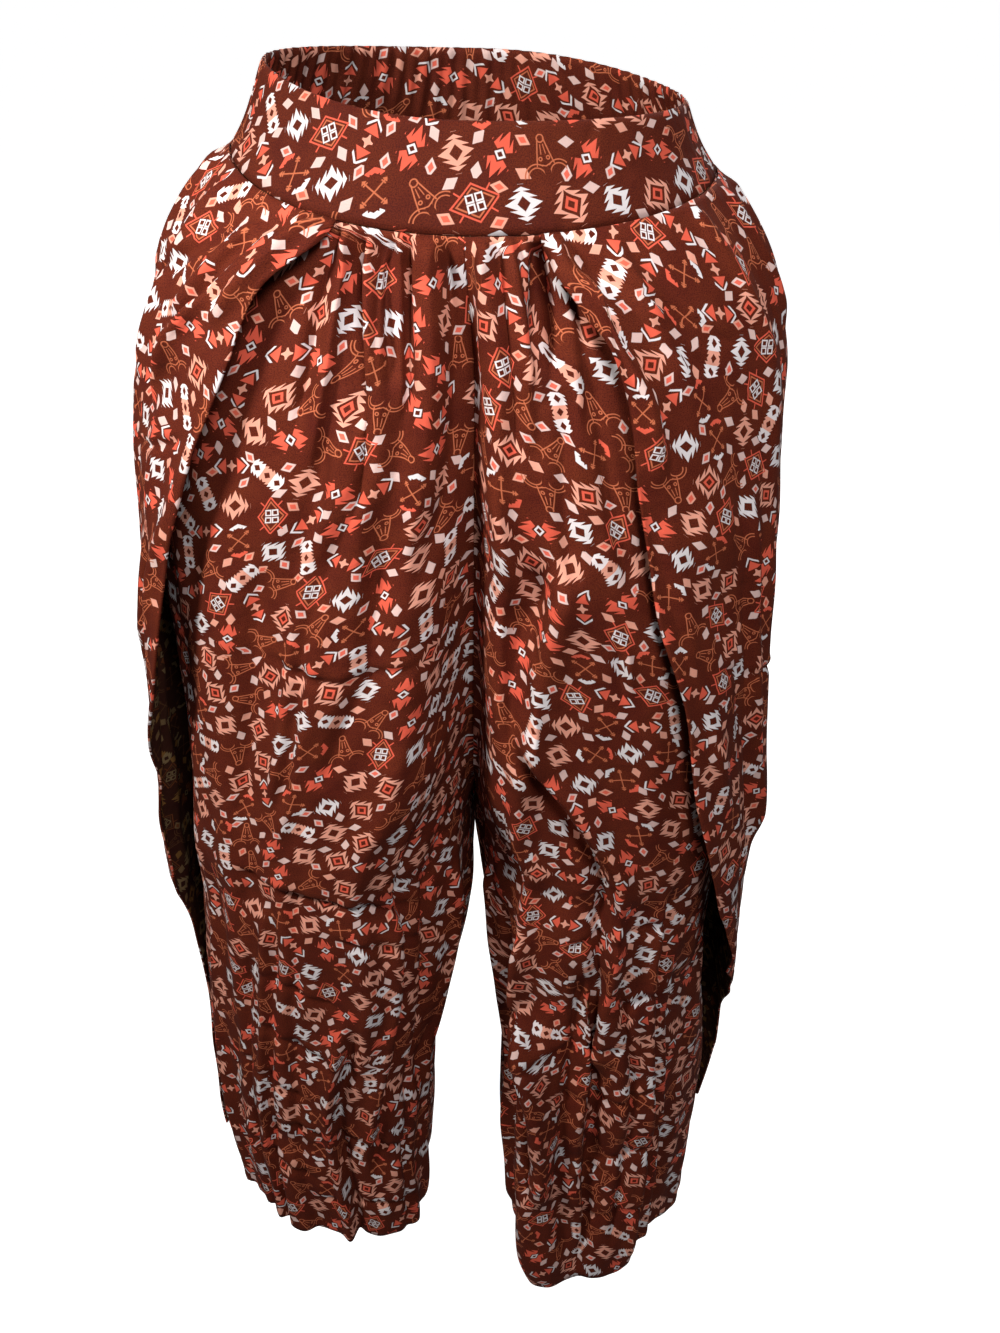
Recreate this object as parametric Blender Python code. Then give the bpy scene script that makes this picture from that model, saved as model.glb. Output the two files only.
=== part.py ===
# Harem capri pants: loose printed cloth trousers with a waistband and full length side wraps.
# Units are metres. +Z is up, the front faces -Y, and the origin is the centre of the waist opening.
# Left and right are the wearer's, so the wearer's left leg is on +X.

import math

import bpy
import numpy as np

# Cloth sizes
WALL = 0.0014
SEAM_GAP = 0.0003
BAND_WALL = 0.0030
BAND_OFFSET = 0.0008
WRAP_OFFSET = WALL + SEAM_GAP
HALF_SEAM = SEAM_GAP / 2.0

# Levels along the garment
SEAM_LEVEL = -0.050
HEM_LEVEL = -0.860
CROTCH_LEVEL = -0.465
LEG_CLEARANCE = 0.0010
SWAY = 0.006
VALLEY_DEPTH = 0.008
VALLEY_WIDTH_RIGHT = 8.0
VALLEY_WIDTH_LEFT = 4.5

# Angles round a leg: 0 is the outer side, -90 the front, +90 the back, 180 the inseam
BAND_SIDE_SEAM = -8.0
FRONT_EDGE = 22.0
WRAP_START = 24.0
WRAP_ROOT = 36.0
GATHER_LIMIT = -58.0

LEG_COLUMNS = (
    "z", "outer_right", "inner_right", "outer_left", "inner_left", "middle_y", "half_depth", "squareness",
)

# The cross section of each leg at falling heights. A negative inner edge means that both
# halves still share one trunk there, and they meet on the centre seam.
LEG_SECTIONS = (
    (0.012, 0.110, -0.110, 0.110, -0.110, -0.006, 0.094, 2.10),
    (0.000, 0.113, -0.113, 0.113, -0.113, -0.006, 0.096, 2.10),
    (-0.035, 0.129, -0.129, 0.126, -0.126, -0.008, 0.106, 2.10),
    (-0.055, 0.149, -0.149, 0.143, -0.143, -0.009, 0.116, 2.10),
    (-0.085, 0.168, -0.168, 0.162, -0.162, -0.010, 0.127, 2.15),
    (-0.130, 0.188, -0.186, 0.176, -0.173, -0.011, 0.137, 2.20),
    (-0.190, 0.197, -0.182, 0.182, -0.167, -0.012, 0.142, 2.25),
    (-0.260, 0.200, -0.145, 0.186, -0.131, -0.012, 0.142, 2.30),
    (-0.330, 0.199, -0.100, 0.187, -0.083, -0.012, 0.139, 2.30),
    (-0.400, 0.199, -0.046, 0.186, -0.036, -0.012, 0.134, 2.30),
    (-0.445, 0.199, -0.009, 0.184, -0.008, -0.012, 0.131, 2.30),
    (-0.465, 0.200, 0.001, 0.182, 0.001, -0.012, 0.130, 2.30),
    (-0.500, 0.202, 0.002, 0.179, 0.004, -0.013, 0.127, 2.30),
    (-0.560, 0.204, 0.003, 0.176, 0.010, -0.015, 0.124, 2.30),
    (-0.620, 0.206, 0.010, 0.180, 0.021, -0.018, 0.120, 2.30),
    (-0.690, 0.203, 0.024, 0.188, 0.032, -0.023, 0.116, 2.35),
    (-0.760, 0.198, 0.029, 0.191, 0.032, -0.027, 0.113, 2.45),
    (-0.830, 0.188, 0.030, 0.189, 0.036, -0.031, 0.112, 2.50),
    (-0.900, 0.180, 0.038, 0.184, 0.042, -0.034, 0.112, 2.50),
)

WRAP_COLUMNS = ("z", "edge_right", "edge_left", "flare_right", "flare_left")

# Where the free edge of each back panel lies on the front, in degrees, and how far it stands off.
WRAP_SECTIONS = (
    (-0.030, -66.0, -77.0, 0.0000, 0.0000),
    (-0.055, -66.0, -76.0, 0.0006, 0.0008),
    (-0.085, -58.0, -73.0, 0.0030, 0.0020),
    (-0.130, -53.0, -67.0, 0.0050, 0.0020),
    (-0.190, -47.0, -66.0, 0.0070, 0.0020),
    (-0.260, -41.0, -66.0, 0.0100, 0.0025),
    (-0.330, -37.0, -62.0, 0.0150, 0.0045),
    (-0.400, -28.0, -62.0, 0.0185, 0.0090),
    (-0.460, -21.0, -57.0, 0.0200, 0.0150),
    (-0.500, -18.0, -50.0, 0.0205, 0.0190),
    (-0.560, -12.0, -38.0, 0.0165, 0.0220),
    (-0.620, -4.0, -22.0, 0.0095, 0.0190),
    (-0.690, 0.0, -5.0, 0.0090, 0.0180),
    (-0.760, -2.0, 0.0, 0.0110, 0.0220),
    (-0.830, -5.0, 3.0, 0.0150, 0.0150),
    (-0.900, -5.0, 4.0, 0.0140, 0.0110),
)

HEM_COLUMNS = ("angle", "level_right", "level_left")

# Hem levels round the front panels, then round the back panels from the rounded free corner.
FRONT_HEM = (
    (-180.0, -0.842, -0.862),
    (-150.0, -0.842, -0.876),
    (-118.0, -0.840, -0.893),
    (-88.0, -0.834, -0.878),
    (-58.0, -0.828, -0.850),
    (22.0, -0.828, -0.844),
)
WRAP_HEM = (
    (-10.0, -0.822, -0.790),
    (12.0, -0.840, -0.822),
    (36.0, -0.848, -0.852),
    (90.0, -0.850, -0.862),
    (180.0, -0.842, -0.862),
)

FOLD_COLUMNS = ("side", "top_angle", "top_z", "low_angle", "low_z", "height", "half_width")

# The largest folds of the cloth: a positive height is a ridge and a negative one a trough.
FOLDS = (
    (-1, -80.0, -0.060, -84.0, -0.240, -0.0060, 3.6),
    (-1, -71.0, -0.060, -68.0, -0.260, -0.0060, 3.8),
    (-1, -76.0, -0.060, -76.0, -0.220, 0.0035, 3.0),
    (-1, -62.0, -0.200, -70.0, -0.860, -0.0060, 9.0),
    (-1, -100.0, -0.330, -126.0, -0.880, 0.0120, 14.0),
    (-1, -38.0, -0.480, -46.0, -0.880, -0.0080, 14.0),
    (-1, 78.0, -0.100, 70.0, -0.500, -0.0070, 8.0),
    (-1, 52.0, -0.120, 48.0, -0.880, -0.0080, 10.0),
    (-1, 95.0, -0.420, 104.0, -0.880, -0.0090, 12.0),
    (1, -77.0, -0.060, -94.0, -0.330, -0.0065, 4.2),
    (1, -84.0, -0.060, -86.0, -0.200, 0.0040, 3.4),
    (1, -70.0, -0.060, -64.0, -0.240, -0.0040, 4.0),
    (1, -96.0, -0.540, -100.0, -0.860, -0.0110, 7.0),
    (1, -128.0, -0.600, -118.0, -0.900, 0.0240, 14.0),
    (1, -82.0, -0.560, -88.0, -0.900, 0.0060, 10.0),
    (1, -50.0, -0.560, -58.0, -0.900, -0.0110, 14.0),
    (-1, -136.0, -0.680, -136.0, -0.940, 0.0110, 13.0),
    (1, 74.0, -0.100, 76.0, -0.520, -0.0080, 8.0),
    (1, 55.0, -0.140, 44.0, -0.880, -0.0070, 10.0),
    (1, 92.0, -0.440, 110.0, -0.880, -0.0100, 12.0),
    (1, 132.0, -0.520, 140.0, -0.880, 0.0070, 12.0),
)

# Folds that only the wrapped part of a back panel has, lying outward over the front.
WRAP_FOLDS = (
    (-1, -56.0, -0.062, -36.0, -0.135, 0.0060, 7.0),
    (-1, -40.0, -0.200, -30.0, -0.520, 0.0050, 9.0),
    (1, -70.0, -0.070, -44.0, -0.240, 0.0055, 6.5),
    (1, -46.0, -0.280, -36.0, -0.560, 0.0040, 9.0),
)

# Rows down a panel as a share of its length; they are closer at the waist and at the crotch.
ROW_SHARES = (
    0.000, 0.014, 0.034, 0.060, 0.092, 0.130, 0.172, 0.218, 0.266, 0.315, 0.365, 0.415, 0.462,
    0.484, 0.504, 0.520, 0.552, 0.610, 0.660, 0.712, 0.764, 0.812, 0.856, 0.896, 0.934, 0.968, 1.000,
)

FRONT_GATHER_COLUMNS = 13
FRONT_SIDE_COLUMNS = 10
WRAP_FRONT_COLUMNS = 11
WRAP_ROOT_COLUMNS = 2
BACK_COLUMNS = 14
BAND_STEPS = 40
BAND_SHARES = (0.0, 0.5, 1.0)


def table_value(z, table, names, name):
    # A smooth curve through one named column of a table, read at the heights z.
    column = names.index(name)
    rows = np.array(table, dtype=float)[::-1]
    heights = rows[:, 0]
    values = rows[:, column]
    slopes = np.gradient(values, heights)
    level = np.clip(z, heights[0], heights[-1])
    index = np.clip(np.searchsorted(heights, level) - 1, 0, len(heights) - 2)
    span = heights[index + 1] - heights[index]
    t = (level - heights[index]) / span
    start = values[index] * (2 * t**3 - 3 * t**2 + 1) + slopes[index] * span * (t**3 - 2 * t**2 + t)
    end = values[index + 1] * (3 * t**2 - 2 * t**3) + slopes[index + 1] * span * (t**3 - t**2)
    return start + end


def smooth(value):
    t = np.clip(value, 0.0, 1.0)
    return t * t * (3.0 - 2.0 * t)


def side_name(side):
    return "left" if side > 0 else "right"


def leg_section(side, z):
    # Centre, half width, middle, half depth and squareness of one leg's loop at the heights z.
    outer = table_value(z, LEG_SECTIONS, LEG_COLUMNS, "outer_" + side_name(side))
    inner = table_value(z, LEG_SECTIONS, LEG_COLUMNS, "inner_" + side_name(side))
    inner = np.where(z < CROTCH_LEVEL + 0.002, np.maximum(inner, LEG_CLEARANCE), inner)
    middle = table_value(z, LEG_SECTIONS, LEG_COLUMNS, "middle_y")
    depth = table_value(z, LEG_SECTIONS, LEG_COLUMNS, "half_depth")
    power = table_value(z, LEG_SECTIONS, LEG_COLUMNS, "squareness")
    return (outer + inner) / 2.0, (outer - inner) / 2.0, middle, depth, power


def end_angle(side, z):
    # The angle where a leg's loop reaches the centre seam, or 180 degrees at the inseam.
    centre, half, _, _, power = leg_section(side, z)
    share = np.clip(centre / half, 0.0, 1.0)
    return np.degrees(np.arccos(-(share ** (power / 2.0))))


def band_top(side, angle):
    c = np.cos(np.radians(angle))
    s = np.sin(np.radians(angle))
    at_side = -0.011 if side > 0 else 0.006
    at_middle = np.where(s < 0, -0.011, 0.002)
    return at_side * c**2 + at_middle * s**2


def waist_seam(side, angle):
    c = np.cos(np.radians(angle))
    s = np.sin(np.radians(angle))
    at_side = -0.047 if side > 0 else -0.038
    at_middle = np.where(s < 0, -0.060, -0.048)
    return at_side * c**2 + at_middle * s**2


def leg_hem(side, angle, wrapped):
    # The hem level round a leg, lowest at the front near the inseam.
    table = WRAP_HEM if wrapped else FRONT_HEM
    angles = [row[0] for row in table]
    levels = [row[HEM_COLUMNS.index("level_" + side_name(side))] for row in table]
    place = np.interp(angle, angles, np.arange(len(angles)))
    low = np.clip(np.floor(place).astype(int), 0, len(angles) - 2)
    share = smooth(place - low)
    levels = np.array(levels)
    return levels[low] + (levels[low + 1] - levels[low]) * share


def fold_shift(side, angle, z, folds):
    # How far the listed folds move the cloth out, with soft ends and soft sides.
    total = np.zeros_like(z)
    for fold in folds:
        row = dict(zip(FOLD_COLUMNS, fold))
        if row["side"] != side:
            continue
        share = (z - row["top_z"]) / (row["low_z"] - row["top_z"])
        middle = row["top_angle"] + (row["low_angle"] - row["top_angle"]) * np.clip(share, 0.0, 1.0)
        ends = smooth((share + 0.02) / 0.14) * smooth((1.16 - share) / 0.30)
        across = np.exp(-(((angle - middle) / row["half_width"]) ** 2))
        total = total + row["height"] * ends * across
    return total


def crumples(angle, z):
    # Shallow cross creases on both legs where the cloth has sunk.
    first = np.exp(-(((z + 0.492 + 0.0002 * (angle + 80.0)) / 0.014) ** 2))
    second = np.exp(-(((z + 0.735 - 0.0003 * (angle + 80.0)) / 0.016) ** 2))
    front = smooth((-40.0 - angle) / 40.0) * smooth((angle + 150.0) / 30.0)
    return -(0.0035 * first + 0.0040 * second) * front


def centre_valley(side, angle, z):
    # The deep soft pleat along the front centre seam, alike on both sides where they meet.
    width = VALLEY_WIDTH_LEFT if side > 0 else VALLEY_WIDTH_RIGHT
    from_seam = angle + end_angle(side, z)
    ends = smooth((-0.062 - z) / 0.060) * smooth((z + 0.470) / 0.110)
    return -VALLEY_DEPTH * ends * np.exp(-((from_seam / width) ** 2))


def base_points(side, angle, z):
    # Points on the middle of the cloth that lies next to the wearer.
    centre, half, middle, depth, power = leg_section(side, z)
    c = np.cos(np.radians(angle))
    s = np.sin(np.radians(angle))
    x = centre + half * np.sign(c) * np.abs(c) ** (2.0 / power)
    y = middle + depth * np.sign(s) * np.abs(s) ** (2.0 / power)
    below_seam = smooth((waist_seam(side, angle) - z) / 0.020)
    shift = fold_shift(side, angle, z, FOLDS) + crumples(angle, z) + centre_valley(side, angle, z)
    shift = shift * below_seam
    length = np.sqrt((c / half) ** 2 + (s / depth) ** 2)
    x = x + shift * (c / half) / length
    y = y + shift * (s / depth) / length
    return np.stack([side * x, y, z], axis=-1)


def sway(z):
    # How far the hanging cloth leans toward the wearer's left at each height.
    return SWAY * smooth((-0.050 - z) / 0.090) * smooth((z + 0.800) / 0.260)


def outward(side, angle, z):
    # The outward direction of the cloth, from small steps round it and down it.
    turn = 0.5
    step = 0.0010
    round_step = base_points(side, angle + turn, z) - base_points(side, angle - turn, z)
    down_step = base_points(side, angle, z - step) - base_points(side, angle, z + step)
    normal = np.cross(down_step, round_step) * side
    return normal / np.linalg.norm(normal, axis=-1, keepdims=True)


def wrap_offset(side, angle, z):
    # How far the middle of a back panel lies outside the cloth beneath it.
    flare = table_value(z, WRAP_SECTIONS, WRAP_COLUMNS, "flare_" + side_name(side))
    over = smooth((WRAP_ROOT - angle) / (WRAP_ROOT - WRAP_START))
    spread = smooth((WRAP_START + 6.0 - angle) / 42.0)
    folds = fold_shift(side, angle, z, WRAP_FOLDS) * spread
    return WRAP_OFFSET * over + (np.maximum(flare, 0.0) + folds) * spread


def panel_heights(side, angle, share, wrapped):
    # The height of each panel point: the seam and the hem bend only the rows close to them.
    level = SEAM_LEVEL + (HEM_LEVEL - SEAM_LEVEL) * share
    near_seam = np.clip(1.0 - share / 0.35, 0.0, 1.0) ** 2
    near_hem = np.clip((share - 0.70) / 0.30, 0.0, 1.0) ** 2
    top = waist_seam(side, angle) - SEAM_GAP
    low = leg_hem(side, angle, wrapped)
    return level + (top - SEAM_LEVEL) * near_seam + (low - HEM_LEVEL) * near_hem


def spread_angles(stops, counts):
    # Angles spaced evenly between given stops, with the stops shared.
    parts = [np.linspace(stops[0], stops[1], counts[0] + 1)]
    for first, last, count in zip(stops[1:-1], stops[2:], counts[1:]):
        parts.append(np.linspace(first, last, count + 1)[1:])
    return np.concatenate(parts)


def panel_faces(side, angle, z, offset):
    # Outer and inner faces of one cloth wall, kept clear of the centre seam.
    points = base_points(side, angle, z)
    normal = outward(side, angle, z)
    outer = points + normal * (offset + WALL / 2.0)[..., None]
    inner = points + normal * (offset - WALL / 2.0)[..., None]
    for face in (outer, inner):
        face[..., 0] = side * np.maximum(side * face[..., 0], HALF_SEAM)
    return outer, inner


def close_seam_column(side, outer, inner, z, column, toward_back):
    # Sets one end column of a panel on the centre seam, or on the inseam below the crotch.
    _, _, middle, _, _ = leg_section(side, z)
    shift = HALF_SEAM if toward_back else -HALF_SEAM
    for face in (outer, inner):
        above = z[:, column] > CROTCH_LEVEL
        face[above, column, 0] = side * HALF_SEAM
        face[~above, column, 1] = middle[~above, column] + shift


def front_grid(side):
    # The front panel runs from the centre seam or inseam round to its free side edge.
    angle = np.zeros((len(ROW_SHARES), FRONT_GATHER_COLUMNS + FRONT_SIDE_COLUMNS + 1))
    z = np.zeros_like(angle)
    for row, share in enumerate(ROW_SHARES):
        level = float(panel_heights(side, np.array(-110.0), share, False))
        end = float(end_angle(side, np.array(level)))
        counts = (FRONT_GATHER_COLUMNS, FRONT_SIDE_COLUMNS)
        angle[row] = spread_angles((-end, GATHER_LIMIT, FRONT_EDGE), counts)
        z[row] = panel_heights(side, angle[row], share, False)
    outer, inner = panel_faces(side, angle, z, np.zeros_like(z))
    close_seam_column(side, outer, inner, z, 0, False)
    return outer, inner


def back_grid(side):
    # The back panel runs from its free edge on the front, round the side, to the centre seam.
    counts = (WRAP_FRONT_COLUMNS, WRAP_ROOT_COLUMNS, BACK_COLUMNS)
    angle = np.zeros((len(ROW_SHARES), sum(counts) + 1))
    z = np.zeros_like(angle)
    for row, share in enumerate(ROW_SHARES):
        level = float(panel_heights(side, np.array(110.0), share, True))
        end = float(end_angle(side, np.array(level)))
        edge = float(table_value(np.array(level), WRAP_SECTIONS, WRAP_COLUMNS, "edge_" + side_name(side)))
        angle[row] = spread_angles((edge, WRAP_START, WRAP_ROOT, end), counts)
        z[row] = panel_heights(side, angle[row], share, True)
    outer, inner = panel_faces(side, angle, z, wrap_offset(side, angle, z))
    close_seam_column(side, outer, inner, z, -1, True)
    return outer, inner


def band_grid(front):
    # One half of the waistband, from side seam to side seam across the front or the back.
    seam_turn = math.degrees(SEAM_GAP / 0.125) / 2.0
    if front:
        half = np.linspace(BAND_SIDE_SEAM - seam_turn, -90.0, BAND_STEPS // 2 + 1)
    else:
        half = np.linspace(BAND_SIDE_SEAM + seam_turn, 90.0, BAND_STEPS // 2 + 1)
    columns = [(-1, a) for a in half] + [(1, a) for a in half[::-1][1:]]
    outer = np.zeros((len(BAND_SHARES), len(columns), 3))
    inner = np.zeros_like(outer)
    for index, (side, turn) in enumerate(columns):
        angle = np.full(len(BAND_SHARES), turn)
        top = band_top(side, angle)
        low = waist_seam(side, angle) + SEAM_GAP / 2.0
        z = top + (low - top) * np.array(BAND_SHARES)
        points = base_points(side, angle, z)
        normal = outward(side, angle, z)
        outer[:, index] = points + normal * (BAND_OFFSET + BAND_WALL / 2.0)
        inner[:, index] = points + normal * (BAND_OFFSET - BAND_WALL / 2.0)
        if abs(abs(turn) - 90.0) < 1e-6:
            outer[:, index, 0] = 0.0
            inner[:, index, 0] = 0.0
    return outer, inner


def cloth_solid(name, outer, inner, material):
    # Closes an outer and an inner face of the same layout into one solid.
    rows, columns, _ = outer.shape
    vertices = np.concatenate([outer.reshape(-1, 3), inner.reshape(-1, 3)])
    vertices[:, 0] += sway(vertices[:, 2])
    shift = rows * columns
    faces = []
    for row in range(rows - 1):
        for column in range(columns - 1):
            a = row * columns + column
            b = a + 1
            c = a + columns
            d = c + 1
            faces += [(a, c, b), (b, c, d)]
            faces += [(shift + a, shift + b, shift + c), (shift + b, shift + d, shift + c)]
    rim = [column for column in range(columns)]
    rim += [row * columns + columns - 1 for row in range(1, rows)]
    rim += [(rows - 1) * columns + column for column in range(columns - 2, -1, -1)]
    rim += [row * columns for row in range(rows - 2, 0, -1)]
    for first, last in zip(rim, rim[1:] + rim[:1]):
        faces += [(first, last, shift + first), (last, shift + last, shift + first)]
    corners = vertices[np.array(faces)]
    volume = np.einsum("ij,ij->i", corners[:, 0], np.cross(corners[:, 1], corners[:, 2])).sum()
    if volume < 0:
        faces = [face[::-1] for face in faces]
    mesh = bpy.data.meshes.new(name)
    mesh.from_pydata([tuple(v) for v in vertices], [], faces)
    mesh.update()
    mesh.materials.append(material)
    piece = bpy.data.objects.new(name, mesh)
    bpy.context.scene.collection.objects.link(piece)
    return piece


def cloth_material(name, colour):
    material = bpy.data.materials.new(name)
    material.use_nodes = True
    shader = material.node_tree.nodes["Principled BSDF"]
    shader.inputs["Base Color"].default_value = colour
    shader.inputs["Roughness"].default_value = 0.85
    material.diffuse_color = colour
    return material


for thing in list(bpy.data.objects):
    bpy.data.objects.remove(thing)

printed_cloth = cloth_material("printed_rayon", (0.105, 0.028, 0.014, 1.0))
band_cloth = cloth_material("printed_rayon_band", (0.090, 0.024, 0.012, 1.0))

for leg_side in (1, -1):
    label = side_name(leg_side)
    cloth_solid("front_" + label, *front_grid(leg_side), printed_cloth)
    cloth_solid("back_" + label, *back_grid(leg_side), printed_cloth)

cloth_solid("waistband_front", *band_grid(True), band_cloth)
cloth_solid("waistband_back", *band_grid(False), band_cloth)
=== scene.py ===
import math

import bpy
import numpy as np
from mathutils import Matrix, Vector


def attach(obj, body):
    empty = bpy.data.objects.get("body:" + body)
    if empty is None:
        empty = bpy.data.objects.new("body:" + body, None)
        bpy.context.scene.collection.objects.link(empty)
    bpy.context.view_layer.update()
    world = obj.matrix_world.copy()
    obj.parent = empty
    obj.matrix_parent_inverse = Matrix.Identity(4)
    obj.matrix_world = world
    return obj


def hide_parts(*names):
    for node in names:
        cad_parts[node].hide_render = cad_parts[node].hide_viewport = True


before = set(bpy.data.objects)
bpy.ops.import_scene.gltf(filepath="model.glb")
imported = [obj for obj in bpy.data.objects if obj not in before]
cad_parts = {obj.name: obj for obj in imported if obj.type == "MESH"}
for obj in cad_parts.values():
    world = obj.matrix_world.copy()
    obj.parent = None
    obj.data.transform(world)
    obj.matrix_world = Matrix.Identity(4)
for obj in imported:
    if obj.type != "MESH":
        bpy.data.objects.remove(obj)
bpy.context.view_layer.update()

# Sizes that repeat the CAD part's, in metres
WALL = 0.0014
SEAM_GAP = 0.0003
BAND_OFFSET = 0.0008
WRAP_OFFSET = WALL + SEAM_GAP
HALF_SEAM = 0.000005
SEAM_LEVEL = -0.050
HEM_LEVEL = -0.860
CROTCH_LEVEL = -0.465
LEG_CLEARANCE = 0.0010
SWAY = 0.006
VALLEY_DEPTH = 0.008
VALLEY_WIDTH_RIGHT = 8.0
VALLEY_WIDTH_LEFT = 4.5
BAND_SIDE_SEAM = -8.0
FRONT_EDGE = 22.0
WRAP_START = 24.0
WRAP_ROOT = 36.0
GATHER_LIMIT = -58.0

# Thicknesses of the cloth as it looks
CLOTH = 0.0009
HEM_CLOTH = 0.0014
BAND_CLOTH = 0.0024
HEM_FOLD = 0.009

# Stitching and the tuck under the waist seam, as shallow grooves
STITCH_DEPTH = 0.00035
STITCH_WIDTH = 0.0011
TUCK_DEPTH = 0.0003
TUCK_HEIGHT = 0.0035

# The listed gathers and creases are drawn this much deeper than their tables say
GATHER_DEPTH = 1.7
CREASE_DEPTH = 1.5
WRAP_GATHER_DEPTH = 1.3
WRAP_CREASE_DEPTH = 1.4
FADE_IN = 0.007

# The band's fullness: a fine pucker on the elastic, of two wavelengths
PUCKER_HEIGHT = 0.00062
PUCKER_LENGTH = 0.0083
SECOND_PUCKER_LENGTH = 0.0131
BAND_HEIGHT = 0.05

# How finely each sheet is drawn
PANEL_ROWS = 236
FRONT_COUNTS = (150, 46)
WRAP_COUNTS = (104, 8, 84)
BAND_HALF = 210
BAND_ROWS = 15

# Where the cloth map starts: an angle for each kind of panel, and the level of the hips
WRAP_MAP_ANGLE = -8.0
FRONT_MAP_ANGLE = -89.0
MAP_MERIDIAN = -60.0
MAP_POINTS = 600
HIP_LEVEL = -0.19

# How far each wrap's free edge lifts away from the front beneath it, by level below the waist
EDGE_LEVELS = (0.050, 0.065, 0.095, 0.140, 0.200, 0.300, 0.420, 0.560, 0.700, 0.860)
EDGE_STANDS = {
    -1: (0.0, 0.0070, 0.0110, 0.0105, 0.0080, 0.0050, 0.0030, 0.0015, 0.0020, 0.0015),
    1: (0.0, 0.0050, 0.0070, 0.0070, 0.0065, 0.0075, 0.0070, 0.0030, 0.0010, 0.0010),
}
EDGE_ROLL = 22.0

# The deep fall of cloth along the front centre seam, by level below the waist
RECESS_LEVELS = (0.060, 0.085, 0.130, 0.190, 0.270, 0.350, 0.405, 0.442, 0.468)
RECESS_DEPTHS = (0.0, 0.010, 0.018, 0.026, 0.038, 0.046, 0.044, 0.026, 0.0)
RECESS_WIDTHS = (0.006, 0.008, 0.011, 0.014, 0.019, 0.024, 0.026, 0.028, 0.030)
RECESS_WIDTH_LEFT = 0.0085

LEG_COLUMNS = (
    "z", "outer_right", "inner_right", "outer_left", "inner_left", "middle_y", "half_depth", "squareness",
)
LEG_SECTIONS = (
    (0.012, 0.110, -0.110, 0.110, -0.110, -0.006, 0.094, 2.10),
    (0.000, 0.113, -0.113, 0.113, -0.113, -0.006, 0.096, 2.10),
    (-0.035, 0.129, -0.129, 0.126, -0.126, -0.008, 0.106, 2.10),
    (-0.055, 0.149, -0.149, 0.143, -0.143, -0.009, 0.116, 2.10),
    (-0.085, 0.168, -0.168, 0.162, -0.162, -0.010, 0.127, 2.15),
    (-0.130, 0.188, -0.186, 0.176, -0.173, -0.011, 0.137, 2.20),
    (-0.190, 0.197, -0.182, 0.182, -0.167, -0.012, 0.142, 2.25),
    (-0.260, 0.200, -0.145, 0.186, -0.131, -0.012, 0.142, 2.30),
    (-0.330, 0.199, -0.100, 0.187, -0.083, -0.012, 0.139, 2.30),
    (-0.400, 0.199, -0.046, 0.186, -0.036, -0.012, 0.134, 2.30),
    (-0.445, 0.199, -0.009, 0.184, -0.008, -0.012, 0.131, 2.30),
    (-0.465, 0.200, 0.001, 0.182, 0.001, -0.012, 0.130, 2.30),
    (-0.500, 0.202, 0.002, 0.179, 0.004, -0.013, 0.127, 2.30),
    (-0.560, 0.204, 0.003, 0.176, 0.010, -0.015, 0.124, 2.30),
    (-0.620, 0.206, 0.010, 0.180, 0.021, -0.018, 0.120, 2.30),
    (-0.690, 0.203, 0.024, 0.188, 0.032, -0.023, 0.116, 2.35),
    (-0.760, 0.198, 0.029, 0.191, 0.032, -0.027, 0.113, 2.45),
    (-0.830, 0.188, 0.030, 0.189, 0.036, -0.031, 0.112, 2.50),
    (-0.900, 0.180, 0.038, 0.184, 0.042, -0.034, 0.112, 2.50),
)

WRAP_COLUMNS = ("z", "edge_right", "edge_left", "flare_right", "flare_left")
WRAP_SECTIONS = (
    (-0.030, -66.0, -77.0, 0.0000, 0.0000),
    (-0.055, -66.0, -76.0, 0.0006, 0.0008),
    (-0.085, -58.0, -73.0, 0.0030, 0.0020),
    (-0.130, -53.0, -67.0, 0.0050, 0.0020),
    (-0.190, -47.0, -66.0, 0.0070, 0.0020),
    (-0.260, -41.0, -66.0, 0.0100, 0.0025),
    (-0.330, -37.0, -62.0, 0.0150, 0.0045),
    (-0.400, -28.0, -62.0, 0.0185, 0.0090),
    (-0.460, -21.0, -57.0, 0.0200, 0.0150),
    (-0.500, -18.0, -50.0, 0.0205, 0.0190),
    (-0.560, -12.0, -38.0, 0.0165, 0.0220),
    (-0.620, -4.0, -22.0, 0.0095, 0.0190),
    (-0.690, 0.0, -5.0, 0.0090, 0.0180),
    (-0.760, -2.0, 0.0, 0.0110, 0.0220),
    (-0.830, -5.0, 3.0, 0.0150, 0.0150),
    (-0.900, -5.0, 4.0, 0.0140, 0.0110),
)

HEM_COLUMNS = ("angle", "level_right", "level_left")
FRONT_HEM = (
    (-180.0, -0.842, -0.862),
    (-150.0, -0.842, -0.876),
    (-118.0, -0.840, -0.893),
    (-88.0, -0.834, -0.878),
    (-58.0, -0.828, -0.850),
    (22.0, -0.828, -0.844),
)
WRAP_HEM = (
    (-10.0, -0.822, -0.790),
    (12.0, -0.840, -0.822),
    (36.0, -0.848, -0.852),
    (90.0, -0.850, -0.862),
    (180.0, -0.842, -0.862),
)

FOLD_COLUMNS = ("side", "top_angle", "top_z", "low_angle", "low_z", "height", "half_width")

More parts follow.
